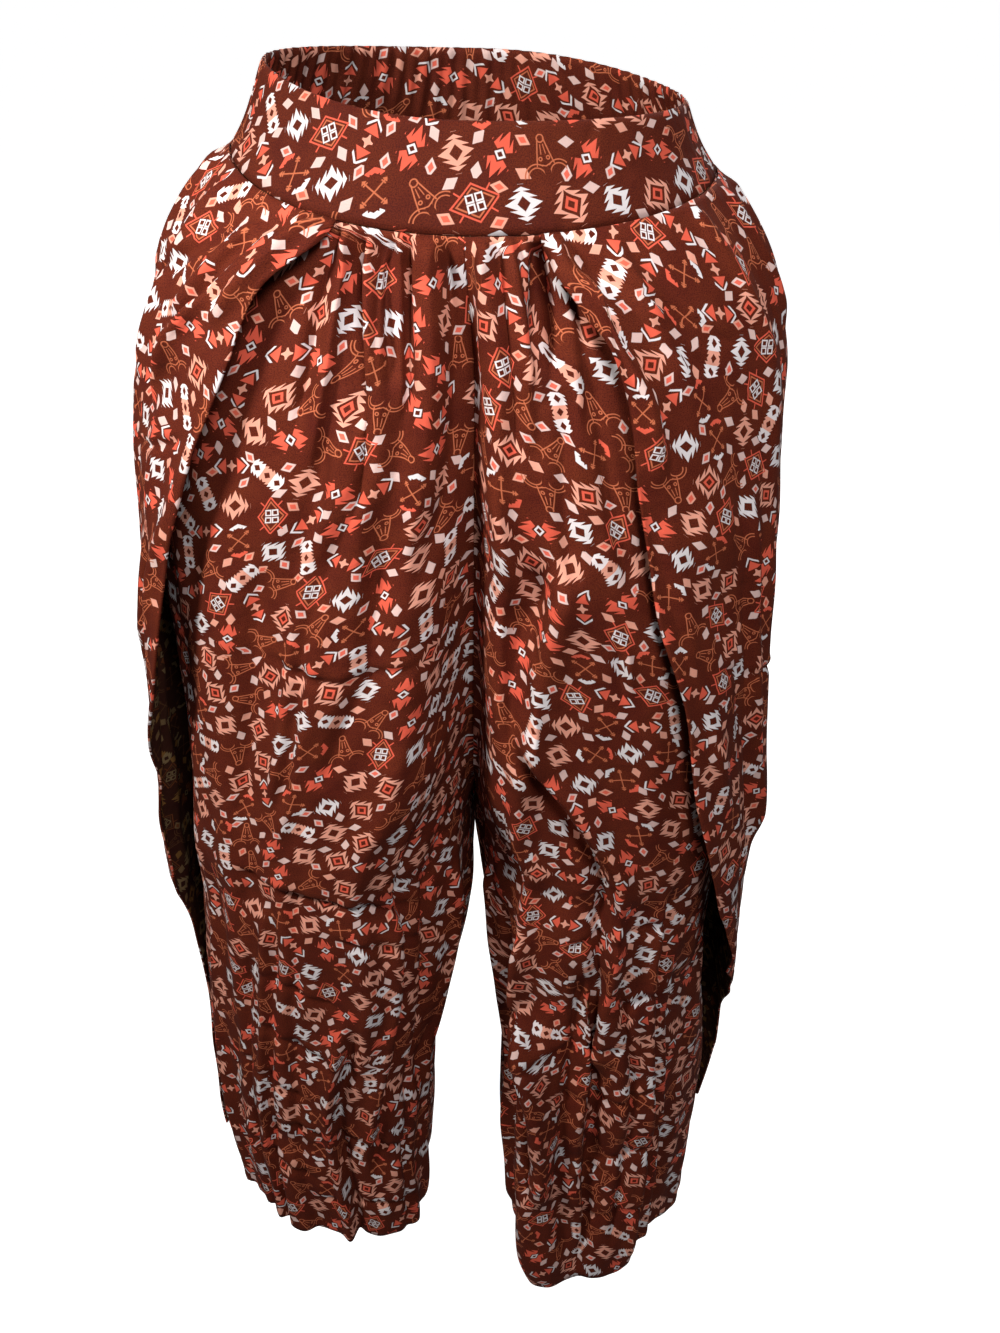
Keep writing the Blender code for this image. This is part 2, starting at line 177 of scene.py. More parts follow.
# The largest folds, as the CAD part has them
FOLDS = (
    (-1, -80.0, -0.060, -84.0, -0.240, -0.0060, 3.6),
    (-1, -71.0, -0.060, -68.0, -0.260, -0.0060, 3.8),
    (-1, -76.0, -0.060, -76.0, -0.220, 0.0035, 3.0),
    (-1, -62.0, -0.200, -70.0, -0.860, -0.0060, 9.0),
    (-1, -100.0, -0.330, -126.0, -0.880, 0.0120, 14.0),
    (-1, -38.0, -0.480, -46.0, -0.880, -0.0080, 14.0),
    (-1, 78.0, -0.100, 70.0, -0.500, -0.0070, 8.0),
    (-1, 52.0, -0.120, 48.0, -0.880, -0.0080, 10.0),
    (-1, 95.0, -0.420, 104.0, -0.880, -0.0090, 12.0),
    (1, -77.0, -0.060, -94.0, -0.330, -0.0065, 4.2),
    (1, -84.0, -0.060, -86.0, -0.200, 0.0040, 3.4),
    (1, -70.0, -0.060, -64.0, -0.240, -0.0040, 4.0),
    (1, -96.0, -0.540, -100.0, -0.860, -0.0110, 7.0),
    (1, -128.0, -0.600, -118.0, -0.900, 0.0240, 14.0),
    (1, -82.0, -0.560, -88.0, -0.900, 0.0060, 10.0),
    (1, -50.0, -0.560, -58.0, -0.900, -0.0110, 14.0),
    (-1, -136.0, -0.680, -136.0, -0.940, 0.0110, 13.0),
    (1, 74.0, -0.100, 76.0, -0.520, -0.0080, 8.0),
    (1, 55.0, -0.140, 44.0, -0.880, -0.0070, 10.0),
    (1, 92.0, -0.440, 110.0, -0.880, -0.0100, 12.0),
    (1, 132.0, -0.520, 140.0, -0.880, 0.0070, 12.0),
)
WRAP_FOLDS = (
    (-1, -56.0, -0.062, -36.0, -0.135, 0.0060, 7.0),
    (-1, -40.0, -0.200, -30.0, -0.520, 0.0050, 9.0),
    (1, -70.0, -0.070, -44.0, -0.240, 0.0055, 6.5),
    (1, -46.0, -0.280, -36.0, -0.560, 0.0040, 9.0),
)

# Smaller creases, laid over the large folds: gathers at the waist first
SMALL_FOLDS = (
    (-1, -67.0, -0.054, -64.5, -0.150, -0.0032, 1.5),
    (-1, -69.2, -0.054, -67.0, -0.170, 0.0034, 1.3),
    (-1, -71.6, -0.054, -74.0, -0.150, -0.0056, 1.5),
    (-1, -73.8, -0.054, -76.0, -0.130, 0.0036, 1.2),
    (-1, -75.6, -0.054, -76.4, -0.190, -0.0030, 1.2),
    (-1, -77.8, -0.054, -79.5, -0.125, -0.0046, 1.2),
    (-1, -79.0, -0.054, -80.5, -0.140, 0.0034, 1.0),
    (-1, -80.4, -0.054, -81.5, -0.135, -0.0038, 1.1),
    (-1, -82.6, -0.054, -83.6, -0.200, 0.0032, 1.4),
    (-1, -84.8, -0.054, -85.6, -0.220, 0.0030, 1.4),
    (-1, -87.0, -0.056, -88.6, -0.230, -0.0055, 1.3),
    (1, -86.6, -0.054, -90.0, -0.240, 0.0060, 1.5),
    (1, -84.4, -0.054, -85.4, -0.160, -0.0030, 1.3),
    (1, -82.2, -0.054, -83.0, -0.150, 0.0026, 1.3),
    (1, -80.2, -0.054, -82.5, -0.140, -0.0030, 1.2),
    (1, -76.6, -0.054, -80.0, -0.115, -0.0085, 1.7),
    (1, -79.0, -0.056, -82.6, -0.130, 0.0034, 1.4),
    (1, -71.4, -0.054, -73.5, -0.150, -0.0022, 1.2),
    (-1, -79.0, -0.190, -88.0, -0.330, -0.0022, 2.0),
    (-1, -72.0, -0.230, -76.0, -0.430, 0.0022, 2.8),
    (-1, -58.0, -0.240, -58.0, -0.420, -0.0022, 2.6),
    (1, -77.0, -0.130, -80.0, -0.240, -0.0026, 1.7),
    (1, -72.0, -0.120, -69.5, -0.235, -0.0026, 1.6),
    # Backs: gathers under the elastic, then long folds of both legs
    (-1, 87.0, -0.046, 85.0, -0.300, -0.0046, 2.0),
    (-1, 82.5, -0.046, 80.0, -0.220, 0.0040, 1.8),
    (-1, 78.0, -0.046, 75.0, -0.240, -0.0042, 1.7),
    (-1, 72.5, -0.046, 68.0, -0.200, 0.0036, 1.8),
    (-1, 67.5, -0.046, 62.0, -0.260, -0.0044, 1.9),
    (-1, 61.5, -0.046, 57.0, -0.180, 0.0034, 1.7),
    (-1, 56.0, -0.046, 51.0, -0.230, -0.0040, 1.8),
    (-1, 50.0, -0.046, 45.0, -0.200, 0.0034, 1.9),
    (-1, 44.0, -0.046, 40.0, -0.210, -0.0038, 1.8),
    (-1, 37.0, -0.044, 33.0, -0.170, -0.0030, 1.9),
    (-1, 88.0, -0.330, 118.0, -0.450, -0.0056, 3.2),
    (-1, 70.0, -0.420, 74.0, -0.800, 0.0040, 4.0),
    (-1, 84.0, -0.560, 86.0, -0.850, -0.0044, 3.4),
    (-1, 60.0, -0.560, 62.0, -0.850, -0.0040, 3.4),
    (-1, 122.0, -0.520, 126.0, -0.840, -0.0040, 3.6),
    (-1, 40.0, -0.300, 42.0, -0.780, 0.0036, 4.4),
    (1, 87.0, -0.046, 85.5, -0.260, -0.0044, 2.0),
    (1, 82.0, -0.046, 80.5, -0.210, 0.0040, 1.8),
    (1, 77.0, -0.046, 75.0, -0.270, -0.0044, 1.8),
    (1, 71.0, -0.046, 68.0, -0.180, 0.0036, 1.7),
    (1, 66.0, -0.046, 61.0, -0.240, -0.0042, 1.8),
    (1, 60.0, -0.046, 57.5, -0.190, 0.0034, 1.8),
    (1, 54.0, -0.046, 48.0, -0.250, -0.0040, 1.8),
    (1, 48.0, -0.046, 44.0, -0.170, 0.0032, 1.8),
    (1, 42.0, -0.046, 38.0, -0.210, -0.0036, 1.9),
    (1, 35.0, -0.044, 30.0, -0.220, -0.0030, 2.0),
    (1, 90.0, -0.320, 116.0, -0.450, -0.0060, 3.2),
    (1, 78.0, -0.440, 80.0, -0.820, 0.0042, 4.0),
    (1, 66.0, -0.520, 62.0, -0.850, -0.0044, 3.4),
    (1, 98.0, -0.560, 102.0, -0.850, 0.0040, 3.6),
    (1, 50.0, -0.340, 52.0, -0.800, -0.0036, 4.0),
    (1, 118.0, -0.560, 122.0, -0.850, -0.0046, 3.6),
)

# Creases that only the wrapped part of each back panel has
WRAP_SMALL_FOLDS = (
    (-1, -63.0, -0.056, -50.0, -0.108, 0.0050, 1.8),
    (-1, -58.5, -0.058, -46.0, -0.104, -0.0040, 1.7),
    (-1, -50.0, -0.062, -34.0, -0.112, 0.0046, 2.4),
    (-1, -46.0, -0.055, -24.0, -0.100, -0.0036, 2.0),
    (-1, -36.0, -0.150, -18.0, -0.330, 0.0036, 3.4),
    (-1, -28.0, -0.200, -22.0, -0.460, -0.0034, 3.0),
    (-1, -12.0, -0.140, -6.0, -0.420, 0.0034, 4.0),
    (-1, 2.0, -0.160, 6.0, -0.500, -0.0038, 4.2),
    (-1, 12.0, -0.260, 10.0, -0.760, 0.0036, 4.0),
    (-1, -32.0, -0.046, -16.0, -0.150, 0.0034, 2.6),
    (-1, -22.0, -0.044, -8.0, -0.140, -0.0036, 2.2),
    (-1, -13.0, -0.042, -3.0, -0.110, 0.0030, 2.0),
    (-1, -6.0, -0.042, 2.0, -0.160, -0.0034, 2.0),
    (-1, 2.0, -0.042, 6.0, -0.120, 0.0030, 1.8),
    (-1, 9.0, -0.042, 10.0, -0.170, -0.0036, 2.0),
    (-1, 16.0, -0.042, 17.0, -0.140, 0.0030, 1.9),
    (1, -67.0, -0.072, -58.0, -0.150, -0.0034, 1.5),
    (1, -63.0, -0.064, -55.0, -0.130, 0.0030, 1.8),
    (1, -60.0, -0.098, -46.0, -0.150, -0.0026, 1.6),
    (1, -55.0, -0.200, -50.0, -0.420, 0.0030, 3.6),
    (1, -44.0, -0.240, -36.0, -0.520, -0.0032, 3.2),
    (1, -28.0, -0.120, -24.0, -0.460, 0.0032, 4.0),
    (1, -14.0, -0.160, -12.0, -0.560, -0.0036, 3.6),
    (1, 0.0, -0.120, 4.0, -0.480, 0.0034, 4.0),
    (1, 12.0, -0.240, 12.0, -0.740, -0.0036, 4.0),
    (1, -38.0, -0.052, -28.0, -0.130, 0.0030, 2.4),
    (1, -28.0, -0.050, -18.0, -0.150, -0.0032, 2.2),
    (1, -18.0, -0.050, -12.0, -0.120, 0.0030, 2.0),
    (1, -9.0, -0.050, -5.0, -0.150, -0.0034, 2.0),
    (1, -1.0, -0.050, 2.0, -0.130, 0.0030, 1.9),
    (1, 7.0, -0.050, 8.0, -0.160, -0.0036, 1.9),
    (1, 15.0, -0.050, 16.0, -0.140, 0.0030, 1.8),
)

# Long creases as (side, form, height, half width in degrees, path of (angle, z) points downward)
LONG_CREASES = (
    (1, "lap", 0.0062, 3.6, (
        (-82.0, -0.225), (-87.5, -0.265), (-94.0, -0.313), (-99.0, -0.345), (-99.5, -0.365), (-96.0, -0.390),
        (-93.0, -0.425), (-90.5, -0.450), (-89.5, -0.490), (-89.5, -0.550), (-92.0, -0.600), (-95.0, -0.640),
    )),
    (1, "ridge", 0.0050, 4.0, (
        (-97.0, -0.330), (-105.0, -0.377), (-119.0, -0.438), (-125.0, -0.520), (-130.0, -0.600),
    )),
    (1, "lap", 0.0060, 4.0, (
        (-125.0, -0.520), (-131.0, -0.590), (-126.0, -0.640), (-122.0, -0.700), (-118.0, -0.780),
    )),
    (1, "lap", 0.0026, 1.5, ((-75.5, -0.268), (-74.0, -0.284), (-74.2, -0.304))),
    (1, "lap", 0.0046, 3.2, (
        (-97.0, -0.560), (-104.0, -0.640), (-108.0, -0.700), (-107.0, -0.770), (-103.0, -0.850),
    )),
    (1, "ridge", -0.0040, 2.4, ((-84.0, -0.560), (-80.0, -0.640), (-82.0, -0.720), (-86.0, -0.830))),
    (1, "lap", -0.0038, 3.6, ((-66.0, -0.480), (-68.0, -0.580), (-70.0, -0.700), (-74.0, -0.860))),
    (1, "ridge", 0.0036, 3.4, ((-58.0, -0.560), (-60.0, -0.700), (-62.0, -0.860))),
    (1, "ridge", -0.0046, 3.0, ((-140.0, -0.520), (-142.0, -0.640), (-140.0, -0.820))),
    (1, "lap", 0.0050, 4.0, ((-156.0, -0.500), (-154.0, -0.640), (-152.0, -0.850))),
    (1, "ridge", -0.0028, 2.0, ((-92.0, -0.200), (-96.0, -0.270), (-101.0, -0.330))),
    (-1, "lap", 0.0026, 2.6, (
        (-73.6, -0.150), (-74.5, -0.190), (-71.0, -0.240), (-70.0, -0.300), (-72.0, -0.400),
    )),
    (-1, "ridge", -0.0028, 2.4, ((-82.0, -0.220), (-84.0, -0.300), (-83.0, -0.380))),
    (-1, "ridge", 0.0030, 3.6, ((-92.0, -0.300), (-98.0, -0.400), (-104.0, -0.520), (-106.0, -0.640))),
    (-1, "lap", 0.0030, 3.4, ((-112.0, -0.420), (-118.0, -0.520), (-118.0, -0.640), (-114.0, -0.760))),
    (-1, "ridge", -0.0032, 3.0, ((-84.0, -0.480), (-82.0, -0.600), (-86.0, -0.720), (-88.0, -0.840))),
    (-1, "lap", 0.0030, 3.4, ((-72.0, -0.500), (-70.0, -0.620), (-68.0, -0.720), (-70.0, -0.840))),
    (-1, "ridge", -0.0032, 3.0, ((-58.0, -0.560), (-58.0, -0.700), (-60.0, -0.850))),
    (-1, "ridge", 0.0034, 3.4, ((-34.0, -0.460), (-32.0, -0.600), (-34.0, -0.840))),
    (-1, "lap", 0.0048, 3.4, ((-100.0, -0.600), (-98.0, -0.700), (-102.0, -0.780), (-104.0, -0.850))),
    (-1, "ridge", -0.0050, 3.2, ((-132.0, -0.480), (-134.0, -0.620), (-130.0, -0.840))),
    (-1, "ridge", 0.0046, 3.6, ((-150.0, -0.500), (-150.0, -0.640), (-148.0, -0.850))),
    # The backs of the legs
    (-1, "lap", 0.0056, 4.0, ((98.0, -0.360), (112.0, -0.460), (120.0, -0.600), (118.0, -0.850))),
    (-1, "lap", 0.0044, 3.6, (
        (72.0, -0.260), (78.0, -0.380), (92.0, -0.500), (96.0, -0.680), (94.0, -0.850),
    )),
    (-1, "ridge", -0.0040, 3.4, ((54.0, -0.240), (56.0, -0.440), (52.0, -0.640), (52.0, -0.850))),
    (-1, "lap", -0.0036, 3.2, ((146.0, -0.500), (148.0, -0.660), (146.0, -0.850))),
    (1, "lap", 0.0056, 4.0, ((96.0, -0.350), (110.0, -0.450), (122.0, -0.580), (126.0, -0.850))),
    (1, "lap", 0.0046, 3.6, ((70.0, -0.300), (80.0, -0.420), (88.0, -0.520), (86.0, -0.700), (88.0, -0.850))),
    (1, "ridge", -0.0042, 3.4, ((60.0, -0.230), (58.0, -0.420), (54.0, -0.620), (56.0, -0.850))),
    (1, "lap", -0.0036, 3.2, ((150.0, -0.520), (146.0, -0.680), (148.0, -0.850))),
)

# Long creases of the wrapped parts alone
WRAP_CREASES = (
    (-1, "lap", -0.0066, 2.4, (
        (-56.0, -0.060), (-50.0, -0.084), (-45.0, -0.100), (-36.0, -0.122), (-28.0, -0.152),
    )),
    (-1, "ridge", 0.0030, 2.4, ((-52.0, -0.150), (-46.0, -0.190), (-36.0, -0.260), (-30.0, -0.340))),
    (-1, "lap", -0.0034, 3.0, ((-20.0, -0.300), (-14.0, -0.420), (-8.0, -0.560))),
    (1, "lap", -0.0050, 1.8, (
        (-73.0, -0.060), (-70.0, -0.084), (-66.0, -0.104), (-62.0, -0.135), (-60.0, -0.170),
    )),
    (1, "ridge", 0.0026, 2.4, ((-60.0, -0.200), (-58.0, -0.300), (-52.0, -0.380))),
    (1, "lap", 0.0034, 3.0, ((-40.0, -0.200), (-36.0, -0.340), (-28.0, -0.460))),
)

# Creases round the leg as (side, height, half width in metres, path of (angle, z) points)
CROSS_CREASES = (
    (-1, 0.0034, 0.0046, ((-60.0, -0.474), (-86.0, -0.479), (-104.0, -0.480), (-130.0, -0.504))),
    (-1, 0.0026, 0.0040, ((-96.0, -0.512), (-112.0, -0.520), (-140.0, -0.540))),
    (-1, 0.0030, 0.0044, ((-66.0, -0.612), (-86.0, -0.628), (-107.0, -0.652))),
    (-1, 0.0026, 0.0040, ((-50.0, -0.662), (-74.0, -0.668), (-90.0, -0.684))),
    (-1, 0.0032, 0.0044, ((-80.0, -0.712), (-104.0, -0.722), (-132.0, -0.742))),
    (-1, 0.0028, 0.0040, ((-46.0, -0.748), (-70.0, -0.754), (-92.0, -0.770))),
    (-1, 0.0030, 0.0040, ((-92.0, -0.792), (-118.0, -0.798), (-140.0, -0.812))),
    (-1, 0.0022, 0.0036, ((-60.0, -0.560), (-80.0, -0.566), (-98.0, -0.584))),
    (-1, 0.0022, 0.0040, ((-64.0, -0.300), (-80.0, -0.306), (-94.0, -0.290))),
    (-1, 0.0030, 0.0044, ((84.0, -0.480), (104.0, -0.486), (132.0, -0.506))),
    (-1, 0.0030, 0.0044, ((60.0, -0.600), (86.0, -0.612), (112.0, -0.630))),
    (-1, 0.0030, 0.0044, ((70.0, -0.720), (96.0, -0.736), (124.0, -0.744))),
    (1, 0.0034, 0.0044, ((-64.0, -0.498), (-84.0, -0.506), (-104.0, -0.522))),
    (1, 0.0030, 0.0042, ((-84.0, -0.612), (-104.0, -0.622), (-126.0, -0.640))),
    (1, 0.0034, 0.0046, ((-72.0, -0.664), (-92.0, -0.676), (-114.0, -0.672))),
    (1, 0.0030, 0.0040, ((-56.0, -0.724), (-76.0, -0.728), (-94.0, -0.744))),
    (1, 0.0034, 0.0044, ((-92.0, -0.756), (-112.0, -0.764), (-134.0, -0.780))),
    (1, 0.0028, 0.0040, ((-60.0, -0.792), (-84.0, -0.798), (-104.0, -0.818))),
    (1, 0.0026, 0.0040, ((-58.0, -0.560), (-74.0, -0.566), (-88.0, -0.580))),
    (1, 0.0030, 0.0044, ((80.0, -0.476), (102.0, -0.484), (130.0, -0.500))),
    (1, 0.0030, 0.0044, ((58.0, -0.590), (84.0, -0.600), (110.0, -0.620))),
    (1, 0.0030, 0.0044, ((66.0, -0.706), (94.0, -0.720), (120.0, -0.732))),
)

# Cross creases of the wrapped parts alone, fanning from the pleats at the waist
WRAP_CROSS_CREASES = (
    (1, 0.0030, 0.0030, ((-66.0, -0.078), (-58.0, -0.091), (-50.0, -0.103), (-42.0, -0.115))),
    (1, 0.0024, 0.0030, ((-60.0, -0.108), (-50.0, -0.122), (-40.0, -0.140))),
    (1, 0.0022, 0.0034, ((-52.0, -0.300), (-38.0, -0.318), (-22.0, -0.330))),
    (-1, 0.0026, 0.0030, ((-46.0, -0.068), (-32.0, -0.080), (-18.0, -0.100))),
    (-1, 0.0024, 0.0032, ((-44.0, -0.170), (-30.0, -0.186), (-14.0, -0.196))),
)


def table_value(z, table, names, name):
    # A smooth curve through one named column of a table, read at the heights z.
    column = names.index(name)
    rows = np.array(table, dtype=float)[::-1]
    heights = rows[:, 0]
    values = rows[:, column]
    slopes = np.gradient(values, heights)
    level = np.clip(z, heights[0], heights[-1])
    index = np.clip(np.searchsorted(heights, level) - 1, 0, len(heights) - 2)
    span = heights[index + 1] - heights[index]
    t = (level - heights[index]) / span
    start = values[index] * (2 * t**3 - 3 * t**2 + 1) + slopes[index] * span * (t**3 - 2 * t**2 + t)
    end = values[index + 1] * (3 * t**2 - 2 * t**3) + slopes[index + 1] * span * (t**3 - t**2)
    return start + end


def smooth(value):
    t = np.clip(value, 0.0, 1.0)
    return t * t * (3.0 - 2.0 * t)


def side_name(side):
    return "left" if side > 0 else "right"


def leg_value(z, name):
    return table_value(z, LEG_SECTIONS, LEG_COLUMNS, name)


def wrap_value(side, z, name):
    return table_value(z, WRAP_SECTIONS, WRAP_COLUMNS, name + side_name(side))


def leg_section(side, z):
    outer = leg_value(z, "outer_" + side_name(side))
    inner = leg_value(z, "inner_" + side_name(side))
    inner = np.where(z < CROTCH_LEVEL + 0.002, np.maximum(inner, LEG_CLEARANCE), inner)
    middle = leg_value(z, "middle_y")
    depth = leg_value(z, "half_depth")
    power = leg_value(z, "squareness")
    return (outer + inner) / 2.0, (outer - inner) / 2.0, middle, depth, power


def end_angle(side, z):
    centre, half, _, _, power = leg_section(side, z)
    share = np.clip(centre / half, 0.0, 1.0)
    return np.degrees(np.arccos(-(share ** (power / 2.0))))


def band_top(side, angle):
    c = np.cos(np.radians(angle))
    s = np.sin(np.radians(angle))
    at_side = -0.011 if side > 0 else 0.006
    at_middle = np.where(s < 0, -0.011, 0.002)
    return at_side * c**2 + at_middle * s**2


def waist_seam(side, angle):
    c = np.cos(np.radians(angle))
    s = np.sin(np.radians(angle))
    at_side = -0.047 if side > 0 else -0.038
    at_middle = np.where(s < 0, -0.060, -0.048)
    return at_side * c**2 + at_middle * s**2


def leg_hem(side, angle, wrapped):
    table = WRAP_HEM if wrapped else FRONT_HEM
    angles = [row[0] for row in table]
    levels = np.array([row[HEM_COLUMNS.index("level_" + side_name(side))] for row in table])
    place = np.interp(angle, angles, np.arange(len(angles)))
    low = np.clip(np.floor(place).astype(int), 0, len(angles) - 2)
    share = smooth(place - low)
    return levels[low] + (levels[low + 1] - levels[low]) * share


def fold_shift(side, angle, z, folds):
    total = np.zeros_like(z)
    for fold in folds:
        row = dict(zip(FOLD_COLUMNS, fold))
        if row["side"] != side:
            continue
        share = (z - row["top_z"]) / (row["low_z"] - row["top_z"])
        middle = row["top_angle"] + (row["low_angle"] - row["top_angle"]) * np.clip(share, 0.0, 1.0)
        ends = smooth((share + 0.02) / 0.14) * smooth((1.16 - share) / 0.30)
        across = np.exp(-(((angle - middle) / row["half_width"]) ** 2))
        total = total + row["height"] * ends * across
    return total


def crumples(angle, z):
    first = np.exp(-(((z + 0.492 + 0.0002 * (angle + 80.0)) / 0.014) ** 2))
    second = np.exp(-(((z + 0.735 - 0.0003 * (angle + 80.0)) / 0.016) ** 2))
    front = smooth((-40.0 - angle) / 40.0) * smooth((angle + 150.0) / 30.0)
    return -(0.0035 * first + 0.0040 * second) * front


def centre_valley(side, angle, z):
    width = VALLEY_WIDTH_LEFT if side > 0 else VALLEY_WIDTH_RIGHT
    from_seam = angle + end_angle(side, z)
    ends = smooth((-0.062 - z) / 0.060) * smooth((z + 0.470) / 0.110)
    return -VALLEY_DEPTH * ends * np.exp(-((from_seam / width) ** 2))


def drift(side, angle, z):
    # Soft uneven undulation of hanging cloth, from a few slow waves that never repeat exactly.
    phase = 1.7 if side > 0 else 0.4
    turn = np.radians(angle)
    first = np.sin(9.0 * turn + 14.0 * z + phase) * np.sin(11.0 * z + 2.0 * turn + 2.1 * phase)
    second = np.sin(17.0 * turn - 21.0 * z + 3.3 * phase) * np.sin(19.0 * z - 3.0 * turn + phase)
    third = np.sin(29.0 * turn + 37.0 * z + phase) * np.sin(43.0 * z + 5.0 * turn)
    low = smooth((-0.08 - z) / 0.20)
    return (0.0018 * first + 0.0014 * second + 0.0007 * third) * low


def path_ends(position, first, last, fade):
    return smooth((position - first + fade * 0.3) / fade) * smooth((last - position + fade * 0.5) / fade)


def crease_shift(side, angle, z, creases):
    # Long creases follow a path of (angle, z) points down the cloth. A ridge is a plain swell, and a
    # lap is a swell with a sharp trough on its inner flank, as where cloth folds over itself.
    total = np.zeros_like(z)
    for crease_side, form, height, width, path in creases:
        if crease_side != side:
            continue
        angles = np.array([point[0] for point in path])
        levels = -np.array([point[1] for point in path])
        middle = np.interp(-z, levels, angles)
        t = (angle - middle) / width
        if form == "lap":
            across = 2.2 * t * np.exp(-(t**2)) + 0.25 * np.exp(-((t - 1.2) ** 2) / 3.0)
        else:
            across = np.exp(-(t**2))
        total = total + height * across * path_ends(-z, levels[0], levels[-1], 0.035)
    return total


def cross_shift(side, angle, z, creases):
    # Short creases that run round the leg, each along a path of (angle, z) points.
    total = np.zeros_like(z)
    for crease_side, height, width, path in creases:
        if crease_side != side:
            continue
        angles = np.array([point[0] for point in path])
        levels = np.array([point[1] for point in path])
        order = np.argsort(angles)
        middle = np.interp(angle, angles[order], levels[order])
        t = (z - middle) / width
        across = 1.6 * t * np.exp(-(t**2)) - 0.6 * np.exp(-(t**2))
        total = total + height * across * path_ends(angle, angles.min(), angles.max(), 9.0)
    return total


def seam_recess(side, points):
    # How far the cloth falls in at the front centre seam, steeply on the wearer's left of it.
    level = -points[..., 2]
    depth = np.interp(level, RECESS_LEVELS, RECESS_DEPTHS)
    if side > 0:
        width = RECESS_WIDTH_LEFT
    else:
        width = np.interp(level, RECESS_LEVELS, RECESS_WIDTHS)
    near = np.exp(-((np.abs(points[..., 0]) / width) ** 2))
    front = smooth((-0.010 - points[..., 1]) / 0.030)
    return depth * near * front


def base_points(side, angle, z):
    centre, half, middle, depth, power = leg_section(side, z)
    c = np.cos(np.radians(angle))
    s = np.sin(np.radians(angle))
    x = centre + half * np.sign(c) * np.abs(c) ** (2.0 / power)
    y = middle + depth * np.sign(s) * np.abs(s) ** (2.0 / power)
    below_seam = smooth((waist_seam(side, angle) - z) / 0.020)
    shift = fold_shift(side, angle, z, FOLDS) + crumples(angle, z) + centre_valley(side, angle, z)
    shift = shift * below_seam
    length = np.sqrt((c / half) ** 2 + (s / depth) ** 2)
    x = x + shift * (c / half) / length
    y = y + shift * (s / depth) / length
    return np.stack([side * x, y, z], axis=-1)


def sway(z):
    return SWAY * smooth((-0.050 - z) / 0.090) * smooth((z + 0.800) / 0.260)


def outward(side, angle, z):
    turn = 0.5
    step = 0.0010
    round_step = base_points(side, angle + turn, z) - base_points(side, angle - turn, z)
    down_step = base_points(side, angle, z - step) - base_points(side, angle, z + step)
    normal = np.cross(down_step, round_step) * side
    return normal / np.linalg.norm(normal, axis=-1, keepdims=True)


def wrap_offset(side, angle, z):
    flare = wrap_value(side, z, "flare_")
    over = smooth((WRAP_ROOT - angle) / (WRAP_ROOT - WRAP_START))
    spread = smooth((WRAP_START + 6.0 - angle) / 42.0)
    folds = fold_shift(side, angle, z, WRAP_FOLDS) * spread
    return WRAP_OFFSET * over + (np.maximum(flare, 0.0) + folds) * spread


def panel_heights(side, angle, share, wrapped):
    level = SEAM_LEVEL + (HEM_LEVEL - SEAM_LEVEL) * share
    near_seam = np.clip(1.0 - share / 0.35, 0.0, 1.0) ** 2
    near_hem = np.clip((share - 0.70) / 0.30, 0.0, 1.0) ** 2
    top = waist_seam(side, angle) - SEAM_GAP
    low = leg_hem(side, angle, wrapped)
    return level + (top - SEAM_LEVEL) * near_seam + (low - HEM_LEVEL) * near_hem


def spread_angles(stops, counts):
    parts = [np.linspace(stops[0], stops[1], counts[0] + 1)]
    for first, last, count in zip(stops[1:-1], stops[2:], counts[1:]):
        parts.append(np.linspace(first, last, count + 1)[1:])
    return np.concatenate(parts)


def row_shares(count):
    t = np.linspace(0.0, 1.0, count)
    return 0.72 * t + 0.28 * t**2


def small_shift(side, angle, z):
    # Gathers and creases finer than the CAD part's folds; they start just under the waist seam.
    below_seam = smooth((waist_seam(side, angle) - z) / FADE_IN)
    total = fold_shift(side, angle, z, SMALL_FOLDS) * GATHER_DEPTH + drift(side, angle, z)
    total = total + crease_shift(side, angle, z, LONG_CREASES) * CREASE_DEPTH
    total = total + cross_shift(side, angle, z, CROSS_CREASES)
    return total * below_seam


def grid_normals(points, like):
    across = np.gradient(points, axis=1)
    down = np.gradient(points, axis=0)
    normal = np.cross(down, across)
    normal /= np.maximum(np.linalg.norm(normal, axis=-1, keepdims=True), 1e-12)
    flip = np.sign((normal * like).sum(axis=-1, keepdims=True))
    return normal * np.where(flip == 0, 1.0, flip)


def cloth_map(angle, points, reference):
    # Where each point lies on the flat cloth, in metres across and down. Near the waist, where the
    # cloth is gathered, the rows are stretched toward the width of the hips.
    steps = np.linalg.norm(np.diff(points, axis=1), axis=-1)
    across = np.concatenate([np.zeros((len(points), 1)), np.cumsum(steps, axis=1)], axis=1)
    width = across[:, -1]
    hips = int(np.argmin(np.abs(points[:, points.shape[1] // 2, 2] - HIP_LEVEL)))
    fuller = np.where(np.arange(len(width)) < hips, (width[hips] / width) ** 0.65, 1.0)
    for row in range(len(points)):
        across[row] = (across[row] - np.interp(reference, angle[row], across[row])) * fuller[row]
    heights = np.linspace(0.02, -0.92, MAP_POINTS)
    meridian = base_points(1, np.full(MAP_POINTS, MAP_MERIDIAN), heights)
    fall = np.concatenate([[0.0], np.cumsum(np.linalg.norm(np.diff(meridian, axis=0), axis=1))])
    return across, -np.interp(-points[..., 2], -heights, fall)


def seam_column(side, faces, z, column, toward_back):
    _, _, middle, _, _ = leg_section(side, z)
    shift = HALF_SEAM if toward_back else -HALF_SEAM
    above = z[:, column] > CROTCH_LEVEL
    for face in faces:
        face[above, column, 0] = side * HALF_SEAM
        face[~above, column, 1] = middle[~above, column] + shift


